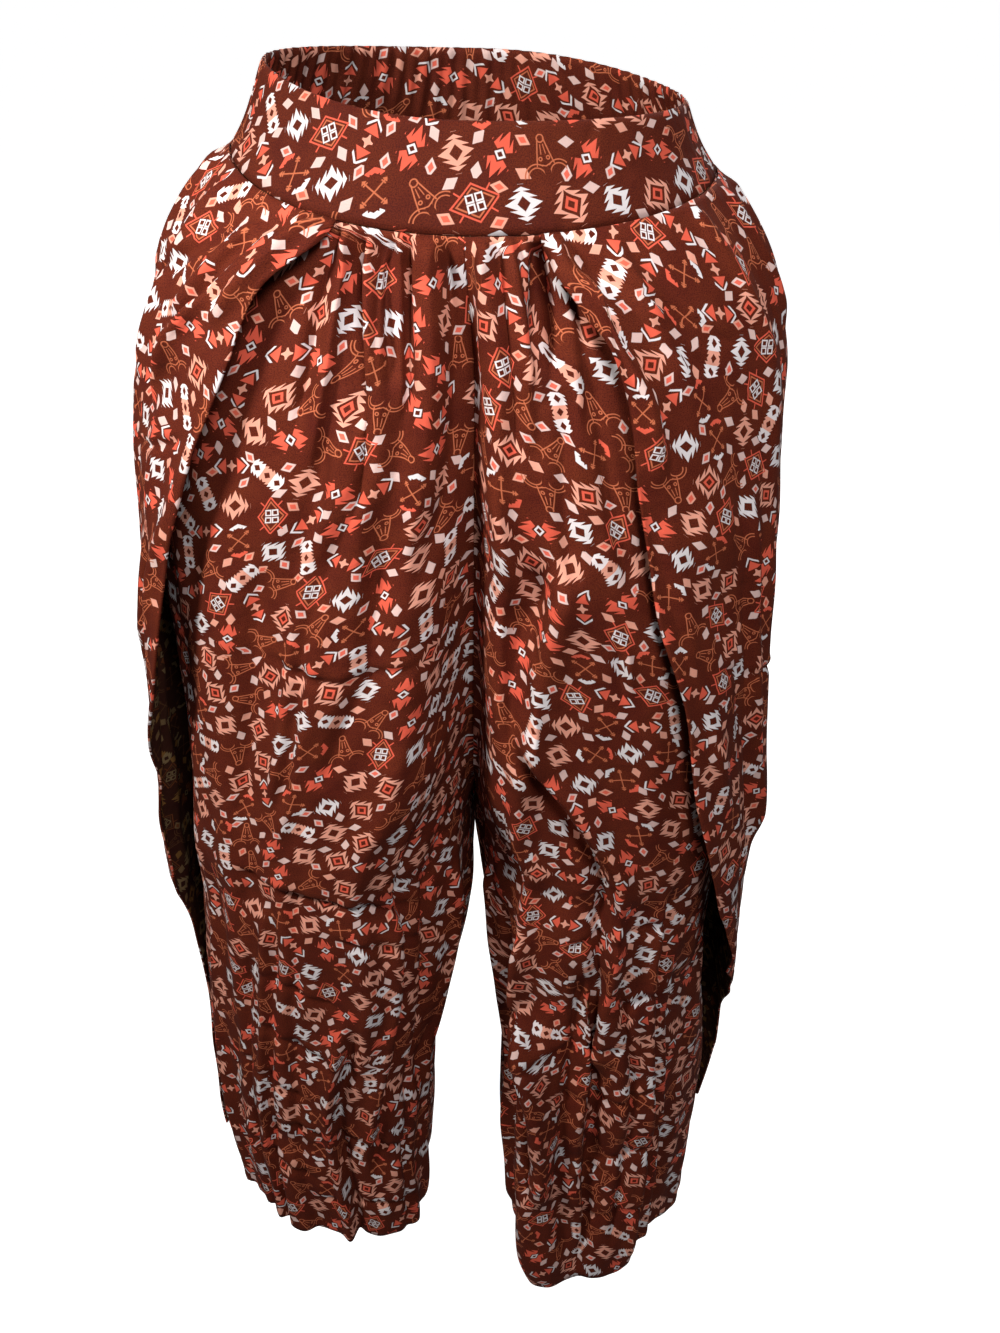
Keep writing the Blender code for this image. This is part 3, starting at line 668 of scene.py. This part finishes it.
def shell_mesh(name, outer, inner, across, down, materials, cloth_place):
    # One closed sheet: the printed side, the wrong side and the rim, with its cloth map.
    rows, columns, _ = outer.shape
    count = rows * columns
    vertices = np.concatenate([outer.reshape(-1, 3), inner.reshape(-1, 3)])
    vertices[:, 0] += sway(vertices[:, 2])
    index = np.arange(count).reshape(rows, columns)
    a = index[:-1, :-1].ravel()
    b = index[:-1, 1:].ravel()
    c = index[1:, 1:].ravel()
    d = index[1:, :-1].ravel()
    front = np.stack([a, b, c, d], axis=1)
    back = np.stack([a, d, c, b], axis=1) + count
    ring = np.concatenate([index[0, :], index[1:, -1], index[-1, -2::-1], index[-2:0:-1, 0]])
    after = np.roll(ring, -1)
    rim = np.stack([ring, ring + count, after + count, after], axis=1)
    faces = np.concatenate([front, back, rim])
    corner = vertices[front]
    facing = np.cross(corner[:, 1] - corner[:, 0], corner[:, 3] - corner[:, 0])
    outside = (outer - inner).reshape(-1, 3)[a]
    if (facing * outside).sum() < 0:
        faces = faces[:, ::-1]
    mesh = bpy.data.meshes.new(name)
    mesh.from_pydata(vertices.tolist(), [], faces.tolist())
    mesh.update()
    place = np.stack([across.ravel(), down.ravel()], axis=1) + np.array(cloth_place)
    place = np.concatenate([place, place])
    layer = mesh.uv_layers.new(name="cloth")
    corners = np.zeros(len(mesh.loops), dtype=np.int32)
    mesh.loops.foreach_get("vertex_index", corners)
    layer.uv.foreach_set("vector", place[corners].astype(np.float32).ravel())
    for material in materials:
        mesh.materials.append(material)
    slots = np.zeros(len(faces), dtype=np.int32)
    slots[len(front):len(front) + len(back)] = 1
    mesh.polygons.foreach_set("material_index", slots)
    mesh.polygons.foreach_set("use_smooth", np.ones(len(faces), dtype=bool))
    mesh.update()
    piece = bpy.data.objects.new(name, mesh)
    bpy.context.scene.collection.objects.link(piece)
    return piece


def rim_distance(points, from_first, from_last, from_bottom):
    # Distance of each point from the chosen free edges, along the cloth.
    rows, columns, _ = points.shape
    far = np.full((rows, columns), 1.0)
    across = np.linalg.norm(np.diff(points, axis=1), axis=-1)
    down = np.linalg.norm(np.diff(points, axis=0), axis=-1)
    run = np.concatenate([np.zeros((rows, 1)), np.cumsum(across, axis=1)], axis=1)
    drop = np.concatenate([np.zeros((1, columns)), np.cumsum(down, axis=0)], axis=0)
    if from_first:
        far = np.minimum(far, run)
    if from_last:
        far = np.minimum(far, run[:, -1:] - run)
    if from_bottom:
        far = np.minimum(far, drop[-1:] - drop)
    return far


def make_panel(name, side, wrapped, materials, cloth_place):
    shares = row_shares(PANEL_ROWS)
    if wrapped:
        counts = WRAP_COUNTS
        probe = 110.0
    else:
        counts = FRONT_COUNTS
        probe = -110.0
    angle = np.zeros((PANEL_ROWS, sum(counts) + 1))
    level = panel_heights(side, np.full(PANEL_ROWS, probe), shares, wrapped)
    end = end_angle(side, level)
    edge = wrap_value(side, level, "edge_")
    for row in range(PANEL_ROWS):
        if wrapped:
            stops = (edge[row], WRAP_START, WRAP_ROOT, end[row])
        else:
            stops = (-end[row], GATHER_LIMIT, FRONT_EDGE)
        angle[row] = spread_angles(stops, counts)
    z = panel_heights(side, angle, shares[:, None], wrapped)
    points = base_points(side, angle, z)
    normal = outward(side, angle, z)
    lift = small_shift(side, angle, z)
    if wrapped:
        below = smooth((waist_seam(side, angle) - z) / FADE_IN)
        folds = fold_shift(side, angle, z, WRAP_SMALL_FOLDS) * WRAP_GATHER_DEPTH
        folds = folds + crease_shift(side, angle, z, WRAP_CREASES) * WRAP_CREASE_DEPTH
        folds = folds + cross_shift(side, angle, z, WRAP_CROSS_CREASES)
        stand = np.interp(-z, EDGE_LEVELS, EDGE_STANDS[side])
        roll = stand * smooth((edge[:, None] + EDGE_ROLL - angle) / EDGE_ROLL) ** 2
        room = np.maximum(wrap_value(side, z, "flare_"), 0.0) + roll
        folds = np.maximum(folds, -0.8 * room - 0.0002) * smooth((WRAP_ROOT - angle) / 20.0)
        lift = lift + wrap_offset(side, angle, z) + (folds + roll) * below
    middle = points + normal * lift[..., None]
    middle[..., 1] += seam_recess(side, middle)
    far = rim_distance(middle, wrapped, not wrapped, True)
    stitched = np.exp(-(((far - HEM_FOLD) / STITCH_WIDTH) ** 2))
    top = np.linalg.norm(middle - middle[:1], axis=-1)
    tuck = np.exp(-((top / TUCK_HEIGHT) ** 2))
    middle = middle - normal * (STITCH_DEPTH * stitched + TUCK_DEPTH * tuck)[..., None]
    surface = grid_normals(middle, normal)
    thick = CLOTH + (HEM_CLOTH - CLOTH) * smooth((HEM_FOLD - far) / 0.0012)
    outer = middle + surface * (thick / 2.0)[..., None]
    inner = middle - surface * (thick / 2.0)[..., None]
    for face in (outer, inner):
        face[..., 0] = side * np.maximum(side * face[..., 0], HALF_SEAM)
    seam_column(side, (outer, inner), z, -1 if wrapped else 0, wrapped)
    across, down = cloth_map(angle, middle, WRAP_MAP_ANGLE if wrapped else FRONT_MAP_ANGLE)
    return shell_mesh(name, outer, inner, across * side, down, materials, cloth_place)


def make_band(name, front, materials, cloth_place):
    turn = math.degrees(SEAM_GAP / 0.125) / 2.0
    if front:
        half = np.linspace(BAND_SIDE_SEAM - turn, -90.0, BAND_HALF + 1)
    else:
        half = np.linspace(BAND_SIDE_SEAM + turn, 90.0, BAND_HALF + 1)
    sides = np.concatenate([np.full(len(half), -1), np.full(len(half) - 1, 1)])
    angles = np.concatenate([half, half[::-1][1:]])
    share = np.linspace(0.0, 1.0, BAND_ROWS)[:, None]
    grids = {}
    for side in (-1, 1):
        pick = sides == side
        angle = np.repeat(angles[pick][None, :], BAND_ROWS, axis=0)
        top = band_top(side, angle)
        low = waist_seam(side, angle) + SEAM_GAP / 2.0
        z = top + (low - top) * share
        grids[side] = (base_points(side, angle, z), outward(side, angle, z), angle)
    points, normal, angle = (np.concatenate(pair, axis=1) for pair in zip(grids[-1], grids[1]))
    steps = np.linalg.norm(np.diff(points[BAND_ROWS // 2], axis=0), axis=1)
    run = np.concatenate([[0.0], np.cumsum(steps)])
    run = (run - run.mean())[None, :]
    crown = 0.0007 * np.sin(math.pi * share) - 0.0004
    if front:
        drawn = 0.35 * smooth((angle + 34.0) / 24.0)
    else:
        drawn = np.ones_like(angle)
    uneven = 1.3 * np.sin(run * 41.0) + 1.1 * share
    wave = np.sin(run * 2 * math.pi / PUCKER_LENGTH + uneven)
    wave = wave + 0.5 * np.sin(run * 2 * math.pi / SECOND_PUCKER_LENGTH + 2.0 + 2.2 * share)
    pucker = drawn * wave * PUCKER_HEIGHT * (0.55 + 0.45 * np.sin(math.pi * share))
    creases = -0.0005 * np.exp(-(((run + 0.052 - 0.035 * share) / 0.0022) ** 2))
    creases = creases - 0.0006 * np.exp(-(((run - 0.071 + 0.03 * share) / 0.0026) ** 2))
    lift = BAND_OFFSET + crown + pucker + (creases if front else 0.0)
    middle = points + normal * lift[..., None]
    rounded = np.sqrt(np.clip(1.0 - ((2.0 * share - 1.0) ** 2) ** 9, 0.0, 1.0))
    thick = BAND_CLOTH * (0.30 + 0.70 * rounded)
    outer = middle + normal * (thick / 2.0)[..., None]
    inner = middle - normal * (thick / 2.0)[..., None]
    down = -np.repeat(share * BAND_HEIGHT, run.shape[1], axis=1)
    across = np.repeat(run, BAND_ROWS, axis=0)
    return shell_mesh(name, outer, inner, across, down, materials, cloth_place)


# How sharp the print's edges are, for each mm of distance
INK_EDGE = 4.5


class Field:
    """A number that varies over the cloth: one output of a material's math nodes."""

    def __init__(self, tree, socket):
        self.tree = tree
        self.socket = socket

    def made(self, operation, *others, clamp=False):
        node = self.tree.nodes.new("ShaderNodeMath")
        node.operation = operation
        node.use_clamp = clamp
        for slot, value in zip(node.inputs, (self,) + others):
            if isinstance(value, Field):
                self.tree.links.new(value.socket, slot)
            else:
                slot.default_value = float(value)
        return Field(self.tree, node.outputs[0])

    def __add__(self, other):
        return self.made("ADD", other)

    def __sub__(self, other):
        return self.made("SUBTRACT", other)

    def __mul__(self, other):
        return self.made("MULTIPLY", other)

    def scaled(self, factor, offset):
        return self.made("MULTIPLY_ADD", factor, offset)

    def abs(self):
        return self.made("ABSOLUTE")

    def fraction(self):
        return self.made("FRACT")

    def floor(self):
        return self.made("FLOOR")

    def larger(self, other):
        return self.made("MAXIMUM", other)

    def smaller(self, other):
        return self.made("MINIMUM", other)

    def wrapped(self, high, low):
        return self.made("WRAP", high, low)

    def sine(self):
        return self.made("SINE")

    def cosine(self):
        return self.made("COSINE")

    def length(self, other):
        return (self * self + other * other).made("SQRT")

    def ink(self, width=0.0):
        # 1 where the distance in mm is under the width, with an edge about 0.2 mm soft.
        return self.made("MULTIPLY_ADD", -INK_EDGE, 0.5 + width * INK_EDGE, clamp=True)

    def line(self, width):
        return self.abs().ink(width)


def serrated_diamond(x, y, half_width, half_height, steps, tooth, hole):
    # Stepped diamond whose rows end in sideways teeth, with a plain diamond hole.
    rows = y.scaled(steps / half_height, 0.12).fraction()
    reach = y.scaled(-half_width / half_height, half_width + tooth * 0.6)
    body = x - (reach - rows * (1.9 * tooth))
    body = body.larger(y.scaled(1.0, -half_height * 0.97))
    eye = (x.scaled(1.0 / hole, 0.0) + y.scaled(0.92 / hole, -1.0)) * (-hole * 0.7)
    return body.larger(eye)


def diamond(x, y, half_width, half_height):
    return (x.scaled(1.0 / half_width, 0.0) + y.scaled(1.0 / half_height, -1.0)) * (half_width * 0.75)


def motif_stepped(x, y, up):
    shape = serrated_diamond(x, y, 7.6, 8.4, 3.0, 1.9, 2.9).ink()
    return {"white": shape}


def motif_stepped_peach(x, y, up):
    shape = serrated_diamond(x, y, 8.0, 9.4, 3.0, 2.1, 3.3).ink()
    return {"peach": shape}


def motif_wings(x, y, up):
    # Two toothed wings either side of a dark ring with a small pale eye.
    shape = serrated_diamond(x, y, 10.4, 9.6, 3.0, 2.4, 3.7)
    parted = (y.scaled(0.62, 0.2) - x).larger(shape)
    eye = (diamond(x, y, 2.0, 2.3)).line(0.46)
    return {"coral": parted.ink(), "white": eye}


def motif_beads(x, y, up):
    # A toothed bar of three pierced diamonds, pale at both ends.
    teeth = y.scaled(0.46, 0.25).fraction()
    edge = (y.scaled(-0.9, 12.6)).smaller(4.7) - teeth * 1.5
    beads = y.wrapped(3.5, -3.5).abs()
    holes = diamond(x, beads, 1.9, 2.2) * -1.0
    shape = (x - edge).larger(holes).larger(y.scaled(1.0, -10.2)).ink()
    end = y.scaled(1.0, -3.4).made("MULTIPLY_ADD", 6.0, 0.5, clamp=True)
    return {"peach": shape, "white": shape * end}


def motif_lattice(x, y, up):
    # A tall diamond in two fine lines round four open squares.
    ring = x.scaled(1.0 / 8.0, 0.0) + y.scaled(1.0 / 10.8, 0.0)
    outer = ring.scaled(6.4, -6.4).line(0.38)
    second = ring.scaled(6.4, -4.9).line(0.34)
    gap = (x - y).abs().ink(1.2)
    side = (x - 1.95).abs().larger((y - 2.15).abs())
    squares = side.scaled(1.0, -1.45).line(0.36)
    barbs = (x + y.scaled(-1.0, 2.2)).scaled(0.7, 0.0).line(0.34) * (x.length(y)).scaled(1.0, -8.6).line(1.7)
    return {"coral": outer.larger(barbs), "line": second * gap.scaled(-1.0, 1.0), "white": squares}


def motif_steer(x, y, up):
    # A steer's head in outline: two horns, a brow and a long face.
    horn = x.scaled(1.0, -5.4).length(up.scaled(1.0, -7.6))
    below = up.ink(7.2)
    horns = (horn.scaled(1.0, -4.1).line(0.27).larger(horn.scaled(1.0, -5.7).line(0.27))) * below
    horns = horns * x.scaled(-1.0, 1.6).ink()
    reach = up.scaled(0.24, 3.5)
    face = (x - reach).line(0.30) * up.scaled(-1.0, -8.6).ink() * up.ink(3.2)
    muzzle = x.length(up.scaled(1.0, 8.6)).scaled(1.0, -1.7).line(0.30)
    cheek = (x - up.scaled(0.10, 1.3)).line(0.22) * up.scaled(-1.0, -6.0).ink() * up.ink(-1.6)
    eyes = x.scaled(1.0, -1.9).length(up.scaled(1.0, -0.2)).scaled(1.0, -0.75).line(0.26)
    brow = (up + x.scaled(0.35, -3.6)).line(0.27) * x.ink(2.6)
    return {"line": horns.larger(face).larger(muzzle.larger(eyes).larger(brow).larger(cheek))}


def motif_arrows(x, y, up):
    # Two crossed arrows, a pale stepped mark above and a coral one below.
    shafts = (x - y).scaled(0.7, 0.0).line(0.32) * x.ink(5.4)
    heads = (x - 4.7).abs().larger((y - 4.7).abs()).ink(0.95) * (x + y).scaled(-1.0, 9.0).ink()
    fletch = (x + y.scaled(1.0, -8.0)).scaled(0.7, 0.0).line(0.30) * (x - y).abs().ink(1.8)
    notch = x.scaled(0.42, 0.0).fraction().scaled(1.3, 0.0)
    mark = (y + x.scaled(0.55, -9.8)).line(1.35) * x.ink(4.6)
    mark = mark * (y - notch).scaled(-1.0, 6.9).ink()
    above = up.made("GREATER_THAN", 0.0)
    return {
        "line": shafts.larger(fletch).larger(heads),
        "white": mark * above,
        "coral": mark * above.scaled(-1.0, 1.0),
    }


def motif_bow(x, y, up):
    # A small star between two triangles, with a pale chevron past each.
    star = (x * y).scaled(1.0, -1.3).ink() * x.larger(y).ink(3.0)
    wedge = (x - y.scaled(-0.82, 7.2)).larger(y.scaled(-1.0, 3.5))
    chevron = (y + x.scaled(0.95, -10.6)).line(0.72) * x.ink(4.2)
    return {"peach": star, "coral": wedge.ink(), "white": chevron}


def motif_pair(x, y, up):
    # Two peach wings that face each other across a little coral bow.
    shape = serrated_diamond(x, y, 8.6, 10.0, 3.0, 2.0, 5.4)
    parted = (y.scaled(-0.55, 3.6) - x).larger(shape)
    ring = diamond(x, y, 2.7, 3.0).line(0.62)
    return {"peach": parted.ink(), "coral": ring}


MOTIFS = (
    motif_stepped, motif_wings, motif_steer, motif_beads, motif_stepped_peach, motif_lattice, motif_bow,
    motif_arrows, motif_steer, motif_pair,
)
# The print's cells in mm, and the seeds and share of what is strewn in them
CELL = 22.6
ROW = 21.6
MOTIF_SCALE = 1.06
MOTIF_SEED = 3.7
SMALL_SEED = 9.1
FULL_TURN = 6.2832
SMALL_HALF_WIDTH = 2.9
SMALL_HALF_HEIGHT = 4.5
SMALL_LEFT_OUT = 0.34


def noise_field(tree, place, scale, detail, rough=0.5):
    node = tree.nodes.new("ShaderNodeTexNoise")
    node.noise_dimensions = "3D"
    node.inputs["Scale"].default_value = scale
    node.inputs["Detail"].default_value = detail
    node.inputs["Roughness"].default_value = rough
    tree.links.new(place, node.inputs["Vector"])
    return Field(tree, node.outputs[0])


def random_fields(tree, across, down, seed):
    # Three random numbers, the same all over one cell of the print.
    join = tree.nodes.new("ShaderNodeCombineXYZ")
    tree.links.new(across.socket, join.inputs[0])
    tree.links.new(down.socket, join.inputs[1])
    join.inputs[2].default_value = seed
    noise = tree.nodes.new("ShaderNodeTexWhiteNoise")
    noise.noise_dimensions = "3D"
    tree.links.new(join.outputs[0], noise.inputs["Vector"])
    split = tree.nodes.new("ShaderNodeSeparateColor")
    tree.links.new(noise.outputs["Color"], split.inputs[0])
    return [Field(tree, split.outputs[index]) for index in range(3)]


def turned(x, y, turn):
    c = turn.cosine()
    s = turn.sine()
    return x * c + y * s, y * c - x * s


def print_layers(tree, u, v):
    # The tossed print: one motif in each cell of staggered rows, and small diamonds between.
    bend = v.scaled(0.030, 0.0).sine() * 2.6
    sag = u.scaled(0.024, 1.0).sine() * 2.8
    u = u + bend
    v = v + sag
    row = v.scaled(1.0 / ROW, 0.0).floor()
    down = v.scaled(1.0 / ROW, 0.0).fraction().scaled(ROW, -ROW / 2.0)
    stagger = row.scaled(0.5, 0.0).fraction() * CELL
    moved = (u + stagger).scaled(1.0 / CELL, 0.0)
    cell = moved.floor()
    across = moved.fraction().scaled(CELL, -CELL / 2.0)
    kind, spin, nudge = random_fields(tree, cell, row, MOTIF_SEED)
    half = (cell + row).scaled(0.5, 0.01).fraction().scaled(2.0, 0.0).floor()
    kind = kind.scaled(4.999, 0.0).floor() * 2.0 + half
    turn = spin.scaled(FULL_TURN, 0.0)
    x, y = turned(across + nudge.scaled(1.8, -0.9), down + spin.scaled(1.6, -0.8), turn)
    x = x.scaled(1.0 / MOTIF_SCALE, 0.0)
    up = y.scaled(1.0 / MOTIF_SCALE, 0.0)
    x = x.abs()
    y = up.abs()
    layers = {}
    for number, motif in enumerate(MOTIFS):
        chosen = kind.made("COMPARE", float(number), 0.4)
        for colour, mask in motif(x, y, up).items():
            part = mask * chosen
            layers[colour] = layers[colour] + part if colour in layers else part
    corner = moved.scaled(1.0, 0.5)
    small_cell = corner.floor()
    small_x = corner.fraction().scaled(CELL, -CELL / 2.0)
    above = down.made("SIGN")
    small_y = down - above * (ROW / 2.0 - 3.2)
    first, second, third = random_fields(tree, small_cell, row * 2.0 + above * 0.5, SMALL_SEED)
    small_x, small_y = turned(small_x + first.scaled(2.0, -1.0), small_y, second.scaled(FULL_TURN, 0.0))
    spot = small_x.abs().scaled(1.0 / SMALL_HALF_WIDTH, 0.0)
    spot = spot + small_y.abs().scaled(1.0 / SMALL_HALF_HEIGHT, 0.0)
    shown = first.made("GREATER_THAN", SMALL_LEFT_OUT)
    body = spot.scaled(2.6, -2.6).ink() * shown
    heart = spot.scaled(2.6, -1.45).ink() * shown
    pale = third.made("GREATER_THAN", 0.30)
    taken = layers["white"]
    for colour in ("peach", "coral", "line"):
        taken = taken.larger(layers[colour])
    free = taken.scaled(-1.0, 1.0)
    body = body * free
    heart = heart * free
    layers["blush"] = body * pale
    layers["peach"] = layers["peach"].larger(body * pale.scaled(-1.0, 1.0))
    layers["coral"] = layers["coral"].larger(heart * second.made("GREATER_THAN", 0.60))
    return layers


# The inks and grounds of the printed side, and of the wrong side: there the print shows dimly through, and
# the colours are darker still with painted shade
INKS = {
    "blush": (0.620, 0.440, 0.410),
    "peach": (0.660, 0.300, 0.220),
    "coral": (0.620, 0.095, 0.056),
    "line": (0.450, 0.125, 0.058),
    "white": (0.640, 0.610, 0.630),
}
# The wrong side's inks: the print's dim show-through, darkened with painted shade
SHADED_WRONG_INKS = {
    "blush": (0.150, 0.095, 0.045),
    "peach": (0.170, 0.085, 0.025),
    "coral": (0.120, 0.036, 0.012),
    "line": (0.080, 0.034, 0.014),
    "white": (0.170, 0.120, 0.060),
}
GROUND = (0.0800, 0.0100, 0.0046)
GROUND_LIGHT = (0.1400, 0.0250, 0.0085)
GROUND_DARK = (0.0230, 0.0028, 0.0032)
# Painted shade on the waistband: all its colours are darkened by this share, as the lamps light it more than
# the panels
BAND_PAINTED_SHADE = 0.76
# The wrong side's ground, darkened with painted shade
SHADED_WRONG_GROUND = (0.0380, 0.0145, 0.0075)


def dimmed(colour, shade):
    return tuple(part * shade for part in colour)


def colour_mix(tree, factor, first, second):
    node = tree.nodes.new("ShaderNodeMix")
    node.data_type = "RGBA"
    tree.links.new(factor.socket, node.inputs[0])
    for slot, value in ((node.inputs[6], first), (node.inputs[7], second)):
        if isinstance(value, tuple):
            slot.default_value = value + (1.0,)
        else:
            tree.links.new(value, slot)
    return node.outputs[2]


def cloth_material(name, wrong_side=False, shade=1.0):
    material = bpy.data.materials.new(name)
    material.use_nodes = True
    tree = material.node_tree
    shader = tree.nodes["Principled BSDF"]
    place = tree.nodes.new("ShaderNodeUVMap")
    place.uv_map = "cloth"
    split = tree.nodes.new("ShaderNodeSeparateXYZ")
    tree.links.new(place.outputs[0], split.inputs[0])
    u = Field(tree, split.outputs[0]).scaled(1000.0, 0.0)
    v = Field(tree, split.outputs[1]).scaled(1000.0, 0.0)
    cloudy = noise_field(tree, place.outputs[0], 34.0, 3.0, 0.6)
    fleck = noise_field(tree, place.outputs[0], 1500.0, 2.0, 0.7)
    patches = cloudy.made("MULTIPLY_ADD", 1.6, -0.35, clamp=True)
    # shade darkens every colour of this material: painted shade, used on the waistband
    dark = dimmed(GROUND_DARK, shade)
    # The wrong side: dim print showing through, darkened with painted shade
    if wrong_side:
        inks = SHADED_WRONG_INKS
        colour = colour_mix(tree, patches, SHADED_WRONG_GROUND, dark)
    else:
        inks = INKS
        colour = colour_mix(tree, patches, dimmed(GROUND, shade), dimmed(GROUND_LIGHT, shade))
        colour = colour_mix(tree, fleck.made("MULTIPLY_ADD", 3.2, -1.32, clamp=True), colour, dark)
    layers = print_layers(tree, u, v)
    strength = fleck.scaled(-0.24, 1.06)
    for ink in ("blush", "peach", "coral", "line", "white"):
        cover = (layers[ink] * strength).made("MINIMUM", 0.97)
        colour = colour_mix(tree, cover, colour, dimmed(inks[ink], shade))
    tree.links.new(colour, shader.inputs["Base Color"])
    weave = (u.scaled(5.6, 0.0).sine() * v.scaled(5.6, 0.0).sine()).scaled(0.5, 0.5)
    crinkle = noise_field(tree, place.outputs[0], 58.0, 3.0, 0.55)
    ridged = (noise_field(tree, place.outputs[0], 26.0, 2.0, 0.5) - 0.5).abs().scaled(-2.2, 1.0)
    height = crinkle + ridged.scaled(0.85, 0.0) + weave.scaled(0.030, 0.0)
    bump = tree.nodes.new("ShaderNodeBump")
    bump.inputs["Strength"].default_value = 0.55
    bump.inputs["Distance"].default_value = 0.0024
    tree.links.new(height.socket, bump.inputs["Height"])
    tree.links.new(bump.outputs[0], shader.inputs["Normal"])
    rough = cloudy.scaled(0.14, 0.76)
    tree.links.new(rough.socket, shader.inputs["Roughness"])
    shader.inputs["Specular IOR Level"].default_value = 0.08
    return material


# Camera at the photograph's place, and the light of a plain bright studio
CAMERA_PLACE = (0.0225, -0.757, 0.083)
CAMERA_DOWN = math.radians(31.76)
CAMERA_ROLL = math.radians(1.3)
SENSOR = 36.0
FOCAL_PIXELS = 1250.0
IMAGE_HEIGHT_PIXELS = 1333.0
CAMERA_LENS = SENSOR * FOCAL_PIXELS / IMAGE_HEIGHT_PIXELS

# The studio: how wide the two near lights spread, the light from all round and the floor
LIGHT_SPREAD = math.radians(90.0)
ROUND_LIGHT = 0.10
FLOOR_LEVEL = -1.02
FLOOR_HALF = 30.0
FLOOR_GLOW = 0.95


def add_camera():
    data = bpy.data.cameras.new("photo_camera")
    camera = bpy.data.objects.new("photo_camera", data)
    bpy.context.scene.collection.objects.link(camera)
    ahead = Vector((0.0, math.cos(CAMERA_DOWN), -math.sin(CAMERA_DOWN)))
    right = Vector((1.0, 0.0, 0.0))
    up = Vector((0.0, math.sin(CAMERA_DOWN), math.cos(CAMERA_DOWN)))
    c = math.cos(CAMERA_ROLL)
    s = math.sin(CAMERA_ROLL)
    across = right * c + up * s
    upward = up * c - right * s
    turn = Matrix((across, upward, -ahead)).transposed()
    camera.matrix_world = Matrix.Translation(Vector(CAMERA_PLACE)) @ turn.to_4x4()
    data.lens = CAMERA_LENS
    data.sensor_width = SENSOR
    data.clip_start = 0.02
    bpy.context.scene.camera = camera


def add_light(name, place, target, size, power, colour):
    data = bpy.data.lights.new(name, "AREA")
    data.shape = "DISK"
    data.size = size
    data.energy = power
    data.color = colour
    light = bpy.data.objects.new(name, data)
    light.visible_camera = False
    bpy.context.scene.collection.objects.link(light)
    light.location = place
    toward = Vector(target) - Vector(place)
    light.rotation_euler = toward.to_track_quat("-Z", "Y").to_euler()
    return light


def add_studio():
    world = bpy.data.worlds.new("studio")
    bpy.context.scene.world = world
    world.use_nodes = True
    tree = world.node_tree
    path = tree.nodes.new("ShaderNodeLightPath")
    level = tree.nodes.new("ShaderNodeMapRange")
    level.inputs["To Min"].default_value = ROUND_LIGHT
    level.inputs["To Max"].default_value = 1.0
    tree.links.new(path.outputs["Is Camera Ray"], level.inputs["Value"])
    background = tree.nodes["Background"]
    background.inputs[0].default_value = (0.97, 0.975, 1.0, 1.0)
    tree.links.new(level.outputs[0], background.inputs[1])
    key = add_light("key", (-0.82, -0.62, 0.50), (-0.05, 0.0, -0.14), 0.26, 5.0, (1.0, 0.93, 0.86))
    fill = add_light("fill", (0.20, -0.86, 0.56), (0.0, 0.0, -0.17), 0.36, 3.4, (1.0, 0.97, 0.95))
    key.data.spread = LIGHT_SPREAD
    fill.data.spread = LIGHT_SPREAD
    add_light("back", (0.6, 2.4, 1.6), (0.0, 0.0, -0.6), 2.2, 60.0, (1.0, 1.0, 1.0))


def add_floor():
    mesh = bpy.data.meshes.new("floor")
    turns = ((-1, -1), (1, -1), (1, 1), (-1, 1))
    corners = [(x * FLOOR_HALF, y * FLOOR_HALF, FLOOR_LEVEL) for x, y in turns]
    mesh.from_pydata(corners, [], [(0, 1, 2, 3)])
    floor = bpy.data.objects.new("floor", mesh)
    bpy.context.scene.collection.objects.link(floor)
    material = bpy.data.materials.new("pale_floor")
    material.use_nodes = True
    tree = material.node_tree
    shader = tree.nodes["Principled BSDF"]
    shader.inputs["Base Color"].default_value = (0.50, 0.50, 0.50, 1.0)
    shader.inputs["Roughness"].default_value = 0.9
    shader.inputs["Emission Color"].default_value = (1.0, 1.0, 1.0, 1.0)
    seen = tree.nodes.new("ShaderNodeLightPath")
    glow = tree.nodes.new("ShaderNodeMath")
    glow.operation = "MULTIPLY"
    glow.inputs[1].default_value = FLOOR_GLOW
    tree.links.new(seen.outputs["Is Camera Ray"], glow.inputs[0])
    tree.links.new(glow.outputs[0], shader.inputs["Emission Strength"])
    mesh.materials.append(material)


add_camera()
add_studio()
add_floor()
bpy.context.scene.view_settings.view_transform = "Standard"

printed = cloth_material("printed_rayon_look")
# The wrong side's material: the print showing dimly through, with painted shade
wrong = cloth_material("printed_rayon_wrong_side_shaded", wrong_side=True)
# The waistband's cloth: a darker copy of the printed cloth, with painted shade
band_shaded_cloth = cloth_material("printed_rayon_band_painted_shade", shade=BAND_PAINTED_SHADE)

# Each piece with the node it stands for; the two numbers say where it is cut from the printed cloth
pieces = []
for leg_side in (1, -1):
    label = side_name(leg_side)
    front_place = (1.31 + 0.7 * leg_side, 2.0 + 0.13 * leg_side)
    back_place = (5.17 + 0.9 * leg_side, 3.0 + 0.21 * leg_side)
    front = make_panel("cloth_front_" + label, leg_side, False, (printed, wrong), front_place)
    back = make_panel("cloth_back_" + label, leg_side, True, (printed, wrong), back_place)
    pieces.append((front, "front_" + label))
    pieces.append((back, "back_" + label))
band_shaded_looks = (band_shaded_cloth, band_shaded_cloth)
pieces.append((make_band("cloth_waistband_front", True, band_shaded_looks, (8.3, 4.11)), "waistband_front"))
pieces.append((make_band("cloth_waistband_back", False, band_shaded_looks, (9.6, 5.02)), "waistband_back"))

# Each piece hangs from the root, and the CAD part it stands for is hidden
for piece, node in pieces:
    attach(piece, "root")
    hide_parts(node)

for piece, node in pieces:
    if node.startswith("waistband"):
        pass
    elif node.startswith("back"):
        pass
    else:
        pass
